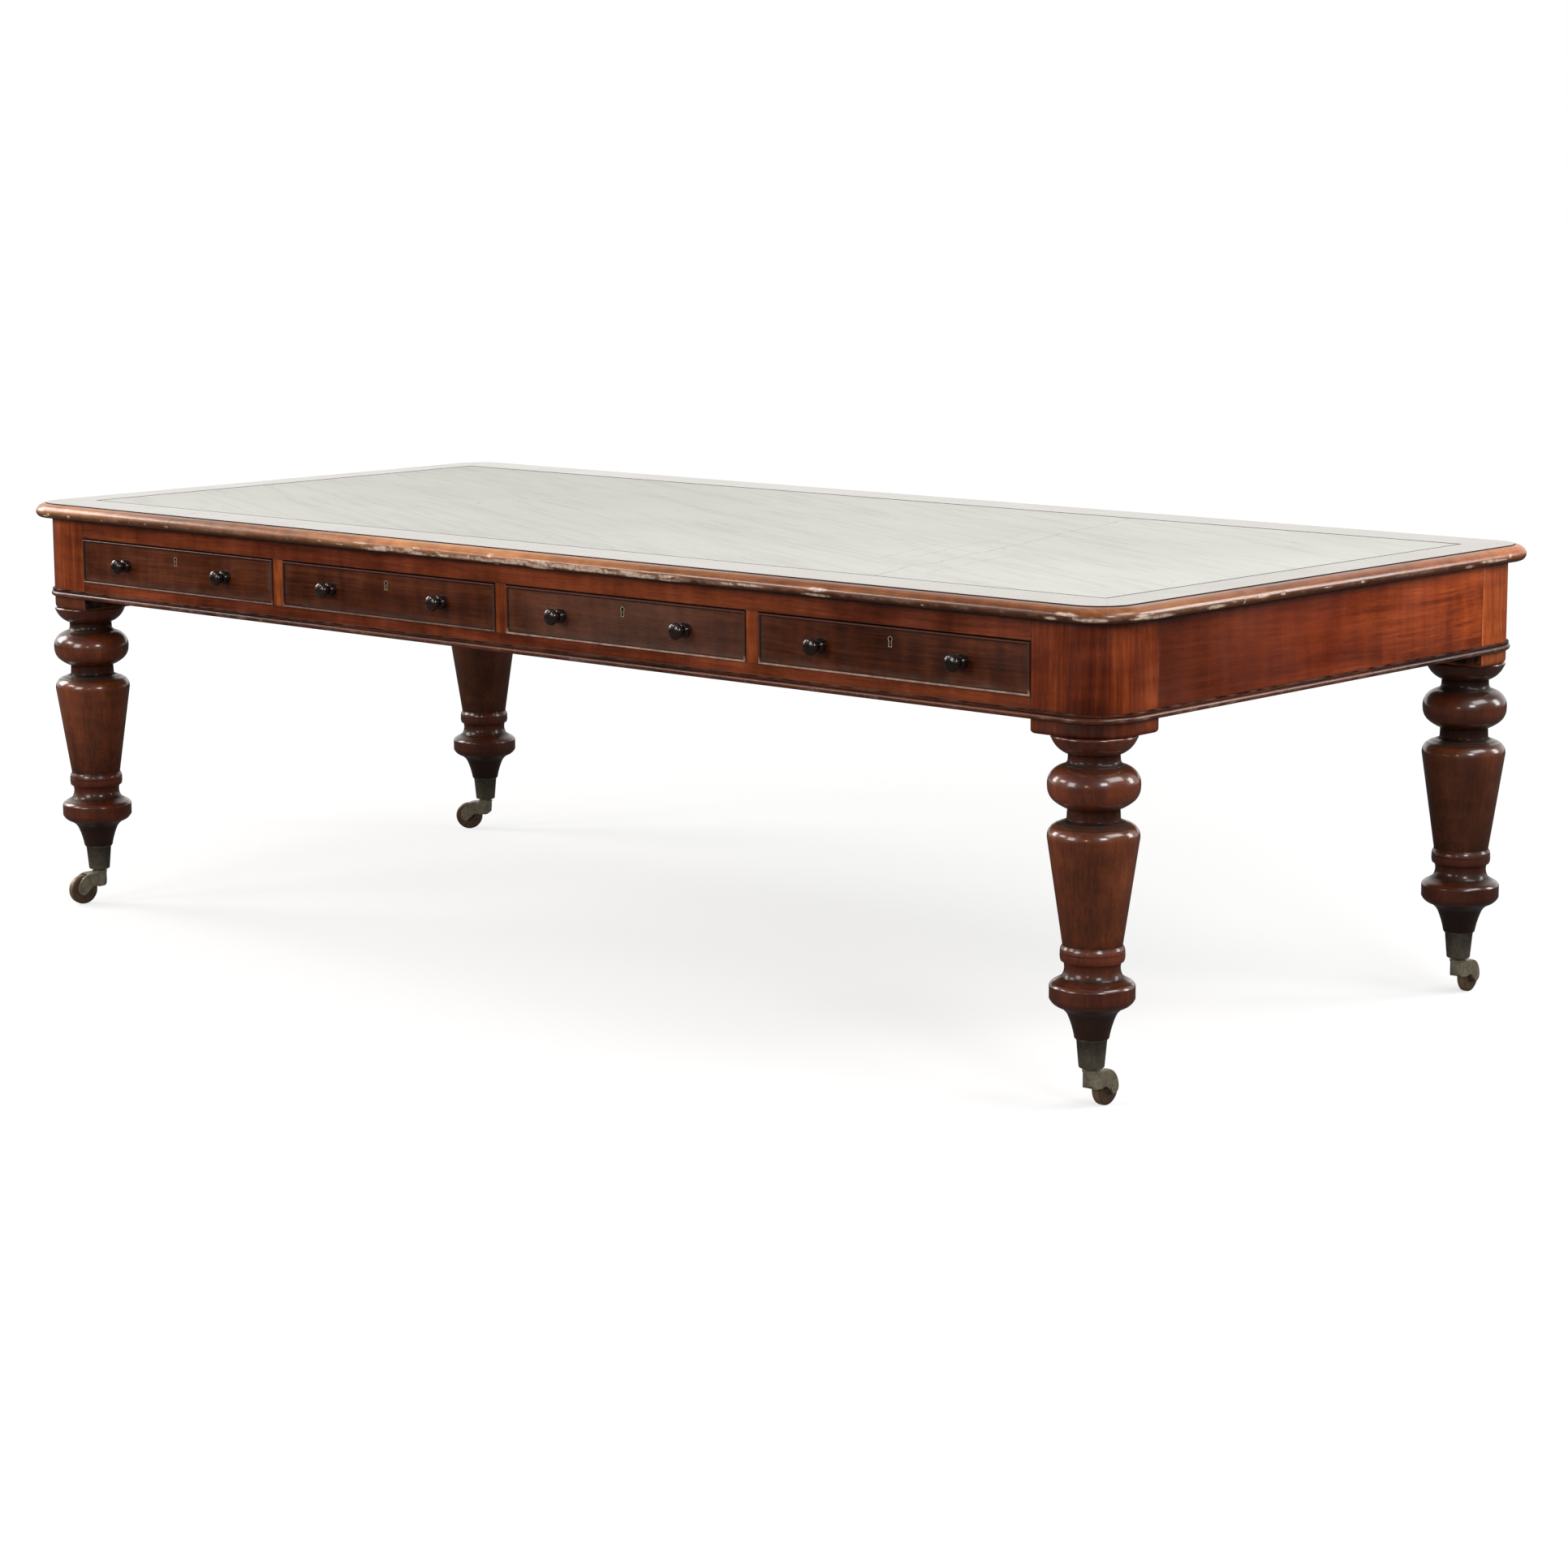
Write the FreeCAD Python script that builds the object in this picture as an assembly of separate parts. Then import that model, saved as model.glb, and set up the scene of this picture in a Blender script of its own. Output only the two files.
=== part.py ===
import FreeCAD, Part
import os

os.makedirs("parts", exist_ok=True)

# A large Victorian library table in mahogany: a leather-lined top, a frieze with four cockbeaded
# drawers to each long side, and four turned legs on brass casters.
# X runs along the table, the drawers shown in front face -Y, and Z is up. The origin is on the
# floor under the middle of the top. Lengths are in millimetres, angles in degrees.

Vector = FreeCAD.Vector
origin = Vector(0, 0, 0)
up = Vector(0, 0, 1)
half_turn = 180.0
quarter_turn = 90.0
mitre_angle = 45.0
cut_overrun = 5.0

# How far an arc bows, as a share of its chord, for each straight step that it is turned in
leg_step_share = 0.07
small_step_share = 0.10
nose_step_share = 0.06

# The bow of the edges of the smaller outlines, as shares of their chords, hollow where negative
round_nose_bow_share = 0.50
moulding_underside_bow_share = 0.19
moulding_nose_bow_share = 0.09
moulding_crown_bow_share = 0.12
cup_edge_bow_share = 0.20
wheel_face_bow_share = 0.10
knob_collar_bow_share = 0.20
knob_back_bow_share = 0.20
knob_front_bow_share = 0.16

# Overall sizes
table_height = 760.0
frieze_length = 2500.0
frieze_depth = 1130.0
frieze_corner_radius = 72.0

# Top
top_overhang = 23.0
top_thickness = 27.0
top_corner_radius = 78.0
edge_moulding_width = 19.6
edge_moulding_nose_drop = 15.5
edge_moulding_shoulder_drop = 7.5
edge_moulding_shoulder_inset = 3.6
edge_moulding_flat_inset = 9.6
edge_quirk_width = 0.9
edge_quirk_depth = 1.5
end_border_width = 70.0
side_border_width = 90.0
leather_thickness = 1.5
leather_gap = 0.3
panel_tongue_length = 10.0
panel_tongue_thickness = 8.0

# Frieze framing
top_rail_height = 32.3
bottom_rail_height = 31.9
drawer_opening_height = 82.2
long_rail_depth = 60.0
end_rail_thickness = 32.0
rail_tenon_length = 40.0
rail_tenon_thickness = 14.0
rail_tenon_shoulder = 6.0
divider_width = 25.5
divider_tenon_length = 9.0
divider_tenon_shoulder = 12.0
drawers_per_side = 4
centre_rail_thickness = 25.0
centre_tenon_length = 10.0
bearer_thickness = 22.0
bearer_ledge = 20.0
bearer_tenon_length = 9.0
bearer_tenon_shoulder = 5.0
guide_height = 25.0

# Bead planted round the foot of the frieze
bead_height = 13.7
bead_projection = 6.5
bead_reed_height = 9.4
bead_reed_root = 3.0
bead_quirk_width = 0.8
bead_fillet_projection = 4.2

# Corner posts and turned legs
post_length = 137.0
post_depth = 127.0
post_drop = 22.2
post_foot_rounding = 6.5
leg_radius = 68.65
leg_spigot_radius = 19.0
leg_spigot_length = 60.0

# Turned outline of a leg from the caster cup to the post: height as a share of that stretch,
# radius as a share of the leg's own, and the bow of the edge that leads there
leg_outline_shares = [
    (0.000, 0.379, 0.00),
    (0.075, 0.523, -0.03),
    (0.106, 0.741, -0.10),
    (0.133, 0.931, 0.10),
    (0.175, 0.931, 0.00),
    (0.189, 0.848, 0.10),
    (0.203, 0.679, 0.00),
    (0.252, 0.625, -0.12),
    (0.258, 0.690, 0.00),
    (0.300, 0.690, 0.06),
    (0.310, 0.651, 0.00),
    (0.655, 0.990, 0.00),
    (0.707, 0.771, 0.27),
    (0.718, 0.730, 0.00),
    (0.742, 0.568, -0.18),
    (0.757, 0.583, 0.00),
    (0.828, 1.000, 0.20),
    (0.897, 0.677, 0.20),
    (0.916, 0.568, -0.15),
    (0.931, 0.568, 0.00),
    (0.951, 0.768, 0.00),
    (0.967, 0.826, 0.00),
    (1.000, 0.826, 0.47),
]

# Casters
cup_top_radius = 24.0
cup_bottom_radius = 19.4
cup_height = 45.0
cup_wall = 1.8
cup_floor = 6.0
cup_edge_radius = 2.0
foot_clearance = 0.1
foot_end_gap = 5.0
pintle_radius = 5.0
pintle_head_radius = 6.5
pintle_head_thickness = 2.0
running_clearance = 0.06
thrust_gap = 0.3
wheel_radius = 27.5
wheel_width = 19.0
wheel_tread_width = 11.0
wheel_hub_radius = 9.0
wheel_side_gap = 1.0
wheel_crown_gap = 1.5
caster_trail = 35.0
horn_neck_radius = 11.0
horn_neck_height = 6.0
horn_ring_radius = 14.0
horn_ring_height = 2.6
horn_boss_radius = 13.0
horn_arm_thickness = 4.0
horn_crown_thickness = 1.5
axle_radius = 3.0
axle_head_radius = 5.0
axle_head_thickness = 1.5

# Side view of a caster's horn, from its boss down the heel, under the arm to the tip beyond the axle
# and back over the wheel: the way along the trail as a share of it, the height as a share of the
# top of the boss, and the bow of the edge that leads there
horn_outline_shares = [
    (-0.371, 1.000, 0.00),
    (-0.320, 0.690, 0.00),
    (-0.110, 0.555, 0.16),
    (0.240, 0.545, 0.00),
    (0.800, 0.460, -0.20),
    (1.060, 0.320, 0.00),
    (1.430, 0.500, 0.24),
    (1.200, 0.840, 0.09),
    (0.700, 0.985, 0.09),
    (0.371, 1.000, 0.00),
]

# The way from the middle to each corner, as shares of half the length and half the depth
corner_shares = {
    "front_left": (-1, -1),
    "front_right": (1, -1),
    "back_left": (-1, 1),
    "back_right": (1, 1),
}

# Which way each caster trails, counted from +X
trail_angles = {
    "front_left": 258.0,
    "front_right": 92.0,
    "back_left": 214.0,
    "back_right": 94.0,
}

# Drawers
drawer_side_gap = 1.3
drawer_head_gap = 2.2
drawer_foot_gap = 0.3
drawer_back_gap = 32.5
drawer_front_thickness = 22.0
cockbead_width = 3.3
cockbead_depth = 6.0
cockbead_projection = 2.8
drawer_side_thickness = 10.0
drawer_side_drop = 3.0
drawer_bottom_thickness = 7.0
drawer_bottom_raise = 5.0
drawer_groove_depth = 6.0
dovetail_lap = 3.0
dovetail_count = 3
dovetail_share = 0.60
dovetail_flare_share = 0.11

# Turned knobs
knob_radius = 14.0
knob_projection = 31.0
knob_head_thickness = 15.5
knob_face_radius = 9.0
knob_face_crown = 1.5
knob_neck_radius = 7.0
knob_collar_radius = 12.0
knob_collar_edge = 3.5
knob_collar_height = 12.0
knob_spigot_radius = 5.0
knob_spigot_length = 15.0
knob_place_share = 0.24

# Drawer locks and their keyhole rims
keyhole_drop = 18.2
keyhole_head_radius = 4.5
keyhole_neck_width = 5.4
keyhole_foot_width = 7.6
keyhole_height = 16.8
keyhole_rim = 1.3
keyhole_rim_depth = 5.0
keyhole_rim_proud = 0.4
keyhole_bed_gap = 0.05
lock_case_width = 60.0
lock_case_height = 44.0
lock_case_thickness = 10.0
lock_plate_width = 76.0
lock_plate_thickness = 2.5

# Heights and lengths that follow
frieze_top = table_height - top_thickness
opening_top = frieze_top - top_rail_height
opening_bottom = opening_top - drawer_opening_height
frieze_bottom = opening_bottom - bottom_rail_height
post_bottom = frieze_bottom - post_drop
half_length = frieze_length / 2
half_depth = frieze_depth / 2
bay_length = frieze_length - 2 * post_length
divider_count = drawers_per_side - 1
opening_width = (bay_length - divider_count * divider_width) / drawers_per_side
rail_back = half_depth - long_rail_depth
drawer_length = half_depth - centre_rail_thickness / 2 - drawer_back_gap
top_length = frieze_length + 2 * top_overhang
top_depth = frieze_depth + 2 * top_overhang
leg_x = half_length - post_length / 2
leg_y = half_depth - post_depth / 2
axle_height = wheel_radius
boss_top = 2 * wheel_radius + wheel_crown_gap + horn_crown_thickness
neck_top = boss_top + horn_neck_height
cup_bottom = neck_top + thrust_gap
cup_top = cup_bottom + cup_height
cup_floor_top = cup_bottom + cup_floor


def outline(points, step_share=None):
    """A face in the XZ plane. Each point has its x, its z and the bow of the edge that leads to it:
    a share of that edge's chord, outward where the points run counter-clockwise. Given a step share,
    a bowed edge is divided evenly into straight steps, more of them the more it bows."""
    edges = []
    for before, point in zip(points[-1:] + points[:-1], points):
        start = Vector(before[0], 0, before[1])
        end = Vector(point[0], 0, point[1])
        bow_share = point[2] if len(point) > 2 else 0
        if not bow_share:
            edges.append(Part.LineSegment(start, end).toShape())
            continue
        outward = Vector(end.z - start.z, 0, start.x - end.x)
        arc = Part.Arc(start, (start + end) / 2 + outward * bow_share, end).toShape()
        if step_share is None:
            edges.append(arc)
            continue
        steps = max(1, round(abs(bow_share) / step_share))
        edges += Part.makePolygon(arc.discretize(steps + 1)).Edges
    return Part.Face(Part.Wire(edges))


def turned(points, step_share=small_step_share):
    """A solid turned about the Z axis from its outline."""
    return outline(points, step_share).revolve(origin, up, 2 * half_turn)


def block(across, along, height):
    """A rectangular block between the two ends given for each of its directions."""
    low = Vector(min(across), min(along), min(height))
    high = Vector(max(across), max(along), max(height))
    size = high - low
    return Part.makeBox(size.x, size.y, size.z, low)


def rod(radius, start, end):
    """A round rod between two points."""
    return Part.makeCylinder(radius, (end - start).Length, start, end - start)


def rounded_block(length, depth, corner_radius, low, high):
    """A block about the Z axis with its four upright edges rounded."""
    body = block((-length / 2, length / 2), (-depth / 2, depth / 2), (low, high))
    uprights = [edge for edge in body.Edges if edge.Vertexes[0].Z != edge.Vertexes[1].Z]
    return body.makeFillet(corner_radius, uprights)


def one_solid(shape):
    """A joined shape without its inner seams."""
    return shape.removeSplitter().Solids[0]


def curved_lengths(section, length, depth, corner_radius):
    """Four lengths of one section round a rectangle with round corners, mitred at each corner.
    The section stands in the XZ plane, with the centre of the corner's curve at zero."""
    lengths = []
    for side in range(4):
        along, across = ((depth, length), (length, depth))[side % 2]
        run = Vector(0, along / 2 - corner_radius, 0)
        straight = section.translated(-run).extrude(run * 2)
        far_bend = section.revolve(origin, up, mitre_angle).translated(run)
        near_bend = section.revolve(origin, up, -mitre_angle).translated(-run)
        piece = one_solid(straight.fuse([far_bend, near_bend]))
        piece.translate(Vector(across / 2 - corner_radius, 0, 0))
        piece.rotate(origin, up, side * quarter_turn)
        lengths.append(piece)
    return lengths


def mitre_wedges(outer, inner, low, high):
    """Four prisms that part a flat frame into its sides, along the lines through its corners.
    The frame's outer and inner sizes each have a length and a depth."""
    wedges = []
    for side in range(4):
        outer_along, outer_across = outer[1 - side % 2] / 2, outer[side % 2] / 2
        inner_along, inner_across = inner[1 - side % 2] / 2, inner[side % 2] / 2
        corner_points = [
            Vector(outer_across, -outer_along, low),
            Vector(outer_across, outer_along, low),
            Vector(inner_across, inner_along, low),
            Vector(inner_across, -inner_along, low),
        ]
        face = Part.Face(Part.makePolygon(corner_points + corner_points[:1]))
        wedge = face.extrude(up * (high - low))
        wedge.rotate(origin, up, side * quarter_turn)
        wedges.append(wedge)
    return wedges


def placed(shape, x, y, turn=0.0):
    """A copy of a shape, turned about the Z axis and then moved."""
    copy = shape.copy()
    copy.rotate(origin, up, turn)
    copy.translate(Vector(x, y, 0))
    return copy


def edge_moulding():
    """Thumb moulding round the top: a gentle upper curve to the nose and a quicker one below."""
    outer = top_corner_radius
    inner = outer - edge_moulding_width
    nose = table_height - edge_moulding_nose_drop
    shoulder = table_height - edge_moulding_shoulder_drop
    return curved_lengths(
        outline([
            (inner, frieze_top),
            (outer - edge_moulding_flat_inset, frieze_top),
            (outer, nose, moulding_underside_bow_share),
            (outer - edge_moulding_shoulder_inset, shoulder, moulding_nose_bow_share),
            (inner + edge_quirk_width, table_height, moulding_crown_bow_share),
            (inner + edge_quirk_width, table_height - edge_quirk_depth),
            (inner, table_height - edge_quirk_depth),
        ]),
        top_length,
        top_depth,
        top_corner_radius,
    )


def top_boards():
    """The mitred border, the panel tongued into it and the leather let in over the panel."""
    outer = (top_length - 2 * edge_moulding_width, top_depth - 2 * edge_moulding_width)
    inner = (outer[0] - 2 * end_border_width, outer[1] - 2 * side_border_width)
    frame = rounded_block(*outer, top_corner_radius - edge_moulding_width, frieze_top, table_height)
    panel_top = table_height - leather_thickness
    across = (-inner[0] / 2, inner[0] / 2)
    along = (-inner[1] / 2, inner[1] / 2)
    tongue_low = (frieze_top + panel_top - panel_tongue_thickness) / 2
    tongue = block(
        (across[0] - panel_tongue_length, across[1] + panel_tongue_length),
        (along[0] - panel_tongue_length, along[1] + panel_tongue_length),
        (tongue_low, tongue_low + panel_tongue_thickness),
    )
    panel = one_solid(block(across, along, (frieze_top, panel_top)).fuse(tongue))
    frame = frame.cut([block(across, along, (frieze_top, table_height)), panel])
    wedges = mitre_wedges(outer, inner, frieze_top, table_height)
    leather = block(
        (across[0] + leather_gap, across[1] - leather_gap),
        (along[0] + leather_gap, along[1] - leather_gap),
        (panel_top, table_height),
    )
    return [frame.common(wedge).Solids[0] for wedge in wedges], panel, leather


def long_rail(low, high):
    """One long rail at the front, with a tenon into the post at each end."""
    body = block((-bay_length / 2, bay_length / 2), (-half_depth, -rail_back), (low, high))
    reach = bay_length / 2 + rail_tenon_length
    middle = -half_depth + long_rail_depth / 2
    tenon = block(
        (-reach, reach),
        (middle - rail_tenon_thickness / 2, middle + rail_tenon_thickness / 2),
        (low + rail_tenon_shoulder, high - rail_tenon_shoulder),
    )
    return one_solid(body.fuse(tenon))


def end_rail():
    """The rail at the right-hand end, flush with the posts that it is tenoned into."""
    reach = half_depth - post_depth
    inner_face = half_length - end_rail_thickness
    body = block((inner_face, half_length), (-reach, reach), (frieze_bottom, frieze_top))
    middle = half_length - end_rail_thickness / 2
    tenon_reach = reach + rail_tenon_length
    tenon = block(
        (middle - rail_tenon_thickness / 2, middle + rail_tenon_thickness / 2),
        (-tenon_reach, tenon_reach),
        (frieze_bottom + rail_tenon_shoulder, frieze_top - rail_tenon_shoulder),
    )
    return one_solid(body.fuse(tenon))


def divider_places():
    """The middle of each divider between two drawers of one side."""
    step = opening_width + divider_width
    first = -bay_length / 2 + opening_width + divider_width / 2
    return [first + number * step for number in range(divider_count)]


def drawer_places():
    """The middle of each drawer of one side."""
    step = opening_width + divider_width
    first = -bay_length / 2 + opening_width / 2
    return [first + number * step for number in range(drawers_per_side)]


def divider(x):
    """An upright between two drawers at the front, with a stub tenon into each long rail."""
    edges = (x - divider_width / 2, x + divider_width / 2)
    body = block(edges, (-half_depth, -rail_back), (opening_bottom, opening_top))
    tenon = block(
        edges,
        (-half_depth + divider_tenon_shoulder, -rail_back - divider_tenon_shoulder),
        (opening_bottom - divider_tenon_length, opening_top + divider_tenon_length),
    )
    return one_solid(body.fuse(tenon))


def cross_pieces(low, high, posts):
    """Five pieces that run from the front long rail to the back one, under or over the edges of
    the drawers, notched round the posts at the two ends and stub-tenoned into the rails."""
    pieces = []
    inner_edge = bay_length / 2 - bearer_ledge
    outer_edge = bay_length / 2 + divider_width
    spans = [(-outer_edge, -inner_edge), (inner_edge, outer_edge)]
    ledge_reach = divider_width / 2 + bearer_ledge
    spans += [(x - ledge_reach, x + ledge_reach) for x in divider_places()]
    tenon_reach = rail_back + bearer_tenon_length
    for span in spans:
        body = block(span, (-rail_back, rail_back), (low, high))
        tenon = block(
            (span[0] + bearer_tenon_shoulder, span[1] - bearer_tenon_shoulder),
            (-tenon_reach, tenon_reach),
            (low + bearer_tenon_shoulder, high - bearer_tenon_shoulder),
        )
        pieces.append(one_solid(body.fuse(tenon).cut(posts)))
    return pieces


def guides():
    """Strips on the bearers that keep the drawers straight, on both sides of the centre rail."""
    strips = []
    start = centre_rail_thickness / 2
    height = (opening_bottom, opening_bottom + guide_height)
    for x in divider_places():
        edges = (x - divider_width / 2, x + divider_width / 2)
        strips.append(block(edges, (start, rail_back), height))
        strips.append(block(edges, (-start, -rail_back), height))
    post_face = half_depth - post_depth
    outer_edge = bay_length / 2 + divider_width
    for edges in [(-outer_edge, -bay_length / 2), (bay_length / 2, outer_edge)]:
        strips.append(block(edges, (start, post_face), height))
        strips.append(block(edges, (-start, -post_face), height))
    return strips


def centre_rail():
    """The rail down the middle that parts the two rows of drawers, tenoned into the end rails."""
    reach = half_length - end_rail_thickness
    width = (-centre_rail_thickness / 2, centre_rail_thickness / 2)
    body = block((-reach, reach), width, (opening_bottom, opening_top))
    tenon = block(
        (-reach - centre_tenon_length, reach + centre_tenon_length),
        width,
        (opening_bottom + guide_height, opening_top - guide_height),
    )
    return one_solid(body.fuse(tenon))


def frieze_bead():
    """A reed under a fillet, parted by a quirk, planted on the foot of the frieze all round."""
    face = frieze_corner_radius
    reed_top = frieze_bottom + bead_reed_height
    fillet_bottom = reed_top + bead_quirk_width
    bead_top = frieze_bottom + bead_height
    reed_bow_share = (bead_projection - bead_reed_root) / bead_reed_height
    return curved_lengths(
        outline([
            (face, frieze_bottom),
            (face + bead_reed_root, frieze_bottom),
            (face + bead_reed_root, reed_top, reed_bow_share),
            (face + bead_reed_root, fillet_bottom),
            (face + bead_fillet_projection, fillet_bottom),
            (face + bead_fillet_projection, bead_top),
            (face, bead_top),
        ]),
        frieze_length,
        frieze_depth,
        frieze_corner_radius,
    )


def corner_post(x_share, y_share, rails, leg):
    """A post that fills the frieze at one corner and drops below it to carry the turned leg, with
    the edges of its foot rounded."""
    body = block(
        (x_share * half_length, x_share * (half_length - post_length)),
        (y_share * half_depth, y_share * (half_depth - post_depth)),
        (post_bottom, frieze_top),
    )
    plan = rounded_block(frieze_length, frieze_depth, frieze_corner_radius, post_bottom, frieze_top)
    post = one_solid(body.common(plan))
    foot_edges = [edge for edge in post.Edges if edge.BoundBox.ZMax < frieze_bottom]
    return one_solid(post.makeFillet(post_foot_rounding, foot_edges).cut(rails + [leg]))


def turned_leg():
    """A leg about the Z axis: the tapered foot inside the caster cup, clear of the riveted pintle,
    the turned outline and the spigot that goes up into the post."""
    foot_bottom = cup_floor_top + foot_end_gap
    slope = (cup_top_radius - cup_bottom_radius) / cup_height
    foot_radius = cup_bottom_radius + slope * (foot_bottom - cup_bottom) - cup_wall - foot_clearance
    rim_radius = cup_top_radius - cup_wall - foot_clearance
    stretch = post_bottom - cup_top
    spigot_top = post_bottom + leg_spigot_length
    points = [(0, foot_bottom), (foot_radius, foot_bottom), (rim_radius, cup_top)]
    for height_share, radius_share, bow_share in leg_outline_shares:
        points.append((leg_radius * radius_share, cup_top + stretch * height_share, bow_share))
    points += [(leg_spigot_radius, post_bottom), (leg_spigot_radius, spigot_top), (0, spigot_top)]
    return turned(points, leg_step_share)


def caster_cup():
    """A brass cup that the foot of the leg is driven into, with a bore for the pintle."""
    bore = pintle_radius + running_clearance
    slope = (cup_top_radius - cup_bottom_radius) / cup_height
    floor_radius = cup_bottom_radius + slope * cup_floor - cup_wall
    return turned([
        (bore, cup_bottom),
        (cup_bottom_radius - cup_edge_radius, cup_bottom),
        (cup_bottom_radius, cup_bottom + cup_edge_radius, cup_edge_bow_share),
        (cup_top_radius, cup_top),
        (cup_top_radius - cup_wall, cup_top),
        (floor_radius, cup_floor_top),
        (bore, cup_floor_top),
    ])


def caster_horn():
    """The forked horn: a ringed neck and riveted pintle on the Z axis, a heel below it, and two
    comma-shaped arms that curl round the axle, which trails towards +X. The axle pin is a piece of
    its own."""
    half_gap = wheel_width / 2 + wheel_side_gap
    half_width = half_gap + horn_arm_thickness
    side_points = []
    for trail_share, height_share, bow_share in horn_outline_shares:
        side_points.append((caster_trail * trail_share, boss_top * height_share, bow_share))
    side = outline(side_points)
    side.translate(Vector(0, -half_width, 0))
    side = side.extrude(Vector(0, 2 * half_width, 0))
    reach = caster_trail + wheel_radius
    plan_points = [
        Vector(0, -horn_boss_radius, 0),
        Vector(horn_boss_radius, -half_width, 0),
        Vector(reach, -half_width, 0),
        Vector(reach, half_width, 0),
        Vector(horn_boss_radius, half_width, 0),
        Vector(0, horn_boss_radius, 0),
    ]
    arms_plan = Part.Face(Part.makePolygon(plan_points + plan_points[:1])).extrude(up * boss_top)
    plan = arms_plan.fuse(rod(horn_boss_radius, origin, up * boss_top))
    wheel_room = rod(
        wheel_radius + wheel_crown_gap,
        Vector(caster_trail, -half_gap, axle_height),
        Vector(caster_trail, half_gap, axle_height),
    )
    rivet_bottom = cup_floor_top + thrust_gap
    rivet_top = rivet_bottom + pintle_head_thickness
    pintle = turned([
        (0, boss_top),
        (horn_ring_radius, boss_top),
        (horn_ring_radius, boss_top + horn_ring_height),
        (horn_neck_radius, boss_top + horn_ring_height),
        (horn_neck_radius, neck_top),
        (pintle_radius, neck_top),
        (pintle_radius, rivet_bottom),
        (pintle_head_radius, rivet_bottom),
        (pintle_head_radius, rivet_top),
        (0, rivet_top),
    ])
    axle = axle_rod(axle_radius, half_width)
    horn = one_solid(side.common(plan).cut([wheel_room, axle]).fuse(pintle))
    heads = [
        rod(
            axle_head_radius,
            Vector(caster_trail, end * half_width, axle_height),
            Vector(caster_trail, end * (half_width + axle_head_thickness), axle_height),
        )
        for end in (-1, 1)
    ]
    return horn, one_solid(axle.fuse(heads))


def axle_rod(radius, half_width):
    """A rod along the axle of a caster that trails towards +X."""
    return rod(
        radius,
        Vector(caster_trail, -half_width, axle_height),
        Vector(caster_trail, half_width, axle_height),
    )


def caster_wheel():
    """A wheel with a flat tread and domed faces, bored for the axle."""
    bore = axle_radius + running_clearance
    half_tread = wheel_tread_width / 2
    half_width = wheel_width / 2
    wheel = turned([
        (bore, -half_width),
        (wheel_hub_radius, -half_width),
        (wheel_radius, -half_tread, wheel_face_bow_share),
        (wheel_radius, half_tread),
        (wheel_hub_radius, half_width, wheel_face_bow_share),
        (bore, half_width),
    ])
    wheel.rotate(origin, Vector(1, 0, 0), quarter_turn)
    wheel.translate(Vector(caster_trail, 0, axle_height))
    return wheel


def tails(base, tip, low, high):
    """The dovetails at one end of a drawer side, as points of y and z from the lowest up."""
    pitch = (high - low) / dovetail_count
    half_tail = pitch * dovetail_share / 2
    flare = pitch * dovetail_flare_share
    points = []
    for number in range(dovetail_count):
        middle = low + pitch * number + pitch / 2
        points += [(base, middle - half_tail), (tip, middle - half_tail - flare)]
        points += [(tip, middle + half_tail + flare), (base, middle + half_tail)]
    return points


def drawer_side(half_width, low, high, back_low):
    """The right-hand side of a drawer: tails lapped into the front and tails through the back."""
    front_base = drawer_front_thickness
    back_base = drawer_length - drawer_side_thickness
    front_tails = tails(front_base, cockbead_depth + dovetail_lap, low, high)
    back_tails = tails(back_base, drawer_length, back_low, high)
    points = [(front_base, high)] + front_tails[::-1] + [(front_base, low)]
    points += [(drawer_length, low), (drawer_length, back_low), (back_base, back_low)]
    points += back_tails + [(back_base, high)]
    x = half_width - drawer_side_thickness
    corners_in_space = [Vector(x, y, z) for y, z in points]
    face = Part.Face(Part.makePolygon(corners_in_space + corners_in_space[:1]))
    return face.extrude(Vector(drawer_side_thickness, 0, 0))


def cockbeads(half_width, low, high):
    """Four mitred strips let into the edges of a drawer front, each with a round nose."""
    length = 2 * half_width
    height = high - low
    inner = (length - 2 * cockbead_width, height - 2 * cockbead_width)
    wedges = mitre_wedges((length, height), inner, -cockbead_depth, cockbead_depth)
    strips = []
    for side, wedge in enumerate(wedges):
        along, across = ((height, length), (length, height))[side % 2]
        edge = across / 2
        nose = cockbead_projection - cockbead_width / 2
        strip = outline([
            (edge - cockbead_width, -cockbead_depth),
            (edge, -cockbead_depth),
            (edge, nose),
            (edge - cockbead_width, nose, round_nose_bow_share),
        ], nose_step_share)
        strip = strip.translated(Vector(0, -along / 2, 0)).extrude(Vector(0, along, 0))
        strip.rotate(origin, up, side * quarter_turn)
        strip = strip.common(wedge).Solids[0]
        strip.rotate(origin, Vector(1, 0, 0), quarter_turn)
        strip.translate(up * ((low + high) / 2))
        strips.append(strip)
    return strips


def knob():
    """A turned knob on the Z axis: a rounded collar, a neck and a flattened ball, with the spigot
    that is glued into the drawer front below zero."""
    head_bottom = knob_projection - knob_head_thickness
    widest = head_bottom + knob_head_thickness / 2
    return turned([
        (0, -knob_spigot_length),
        (knob_spigot_radius, -knob_spigot_length),
        (knob_spigot_radius, 0),
        (knob_collar_radius, 0),
        (knob_collar_radius, knob_collar_edge),
        (knob_neck_radius, knob_collar_height, knob_collar_bow_share),
        (knob_neck_radius, head_bottom),
        (knob_radius, widest, knob_back_bow_share),
        (knob_face_radius, knob_projection - knob_face_crown, knob_front_bow_share),
        (0, knob_projection),
    ])


def knobs(middle):
    """The two knobs of a drawer, as far in from its ends as their share of the opening says."""
    pair = []
    reach = opening_width * (1 / 2 - knob_place_share)
    for x in (-reach, reach):
        copy = knob()
        copy.rotate(origin, Vector(1, 0, 0), quarter_turn)
        copy.translate(Vector(x, 0, middle))
        pair.append(copy)
    return pair


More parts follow.
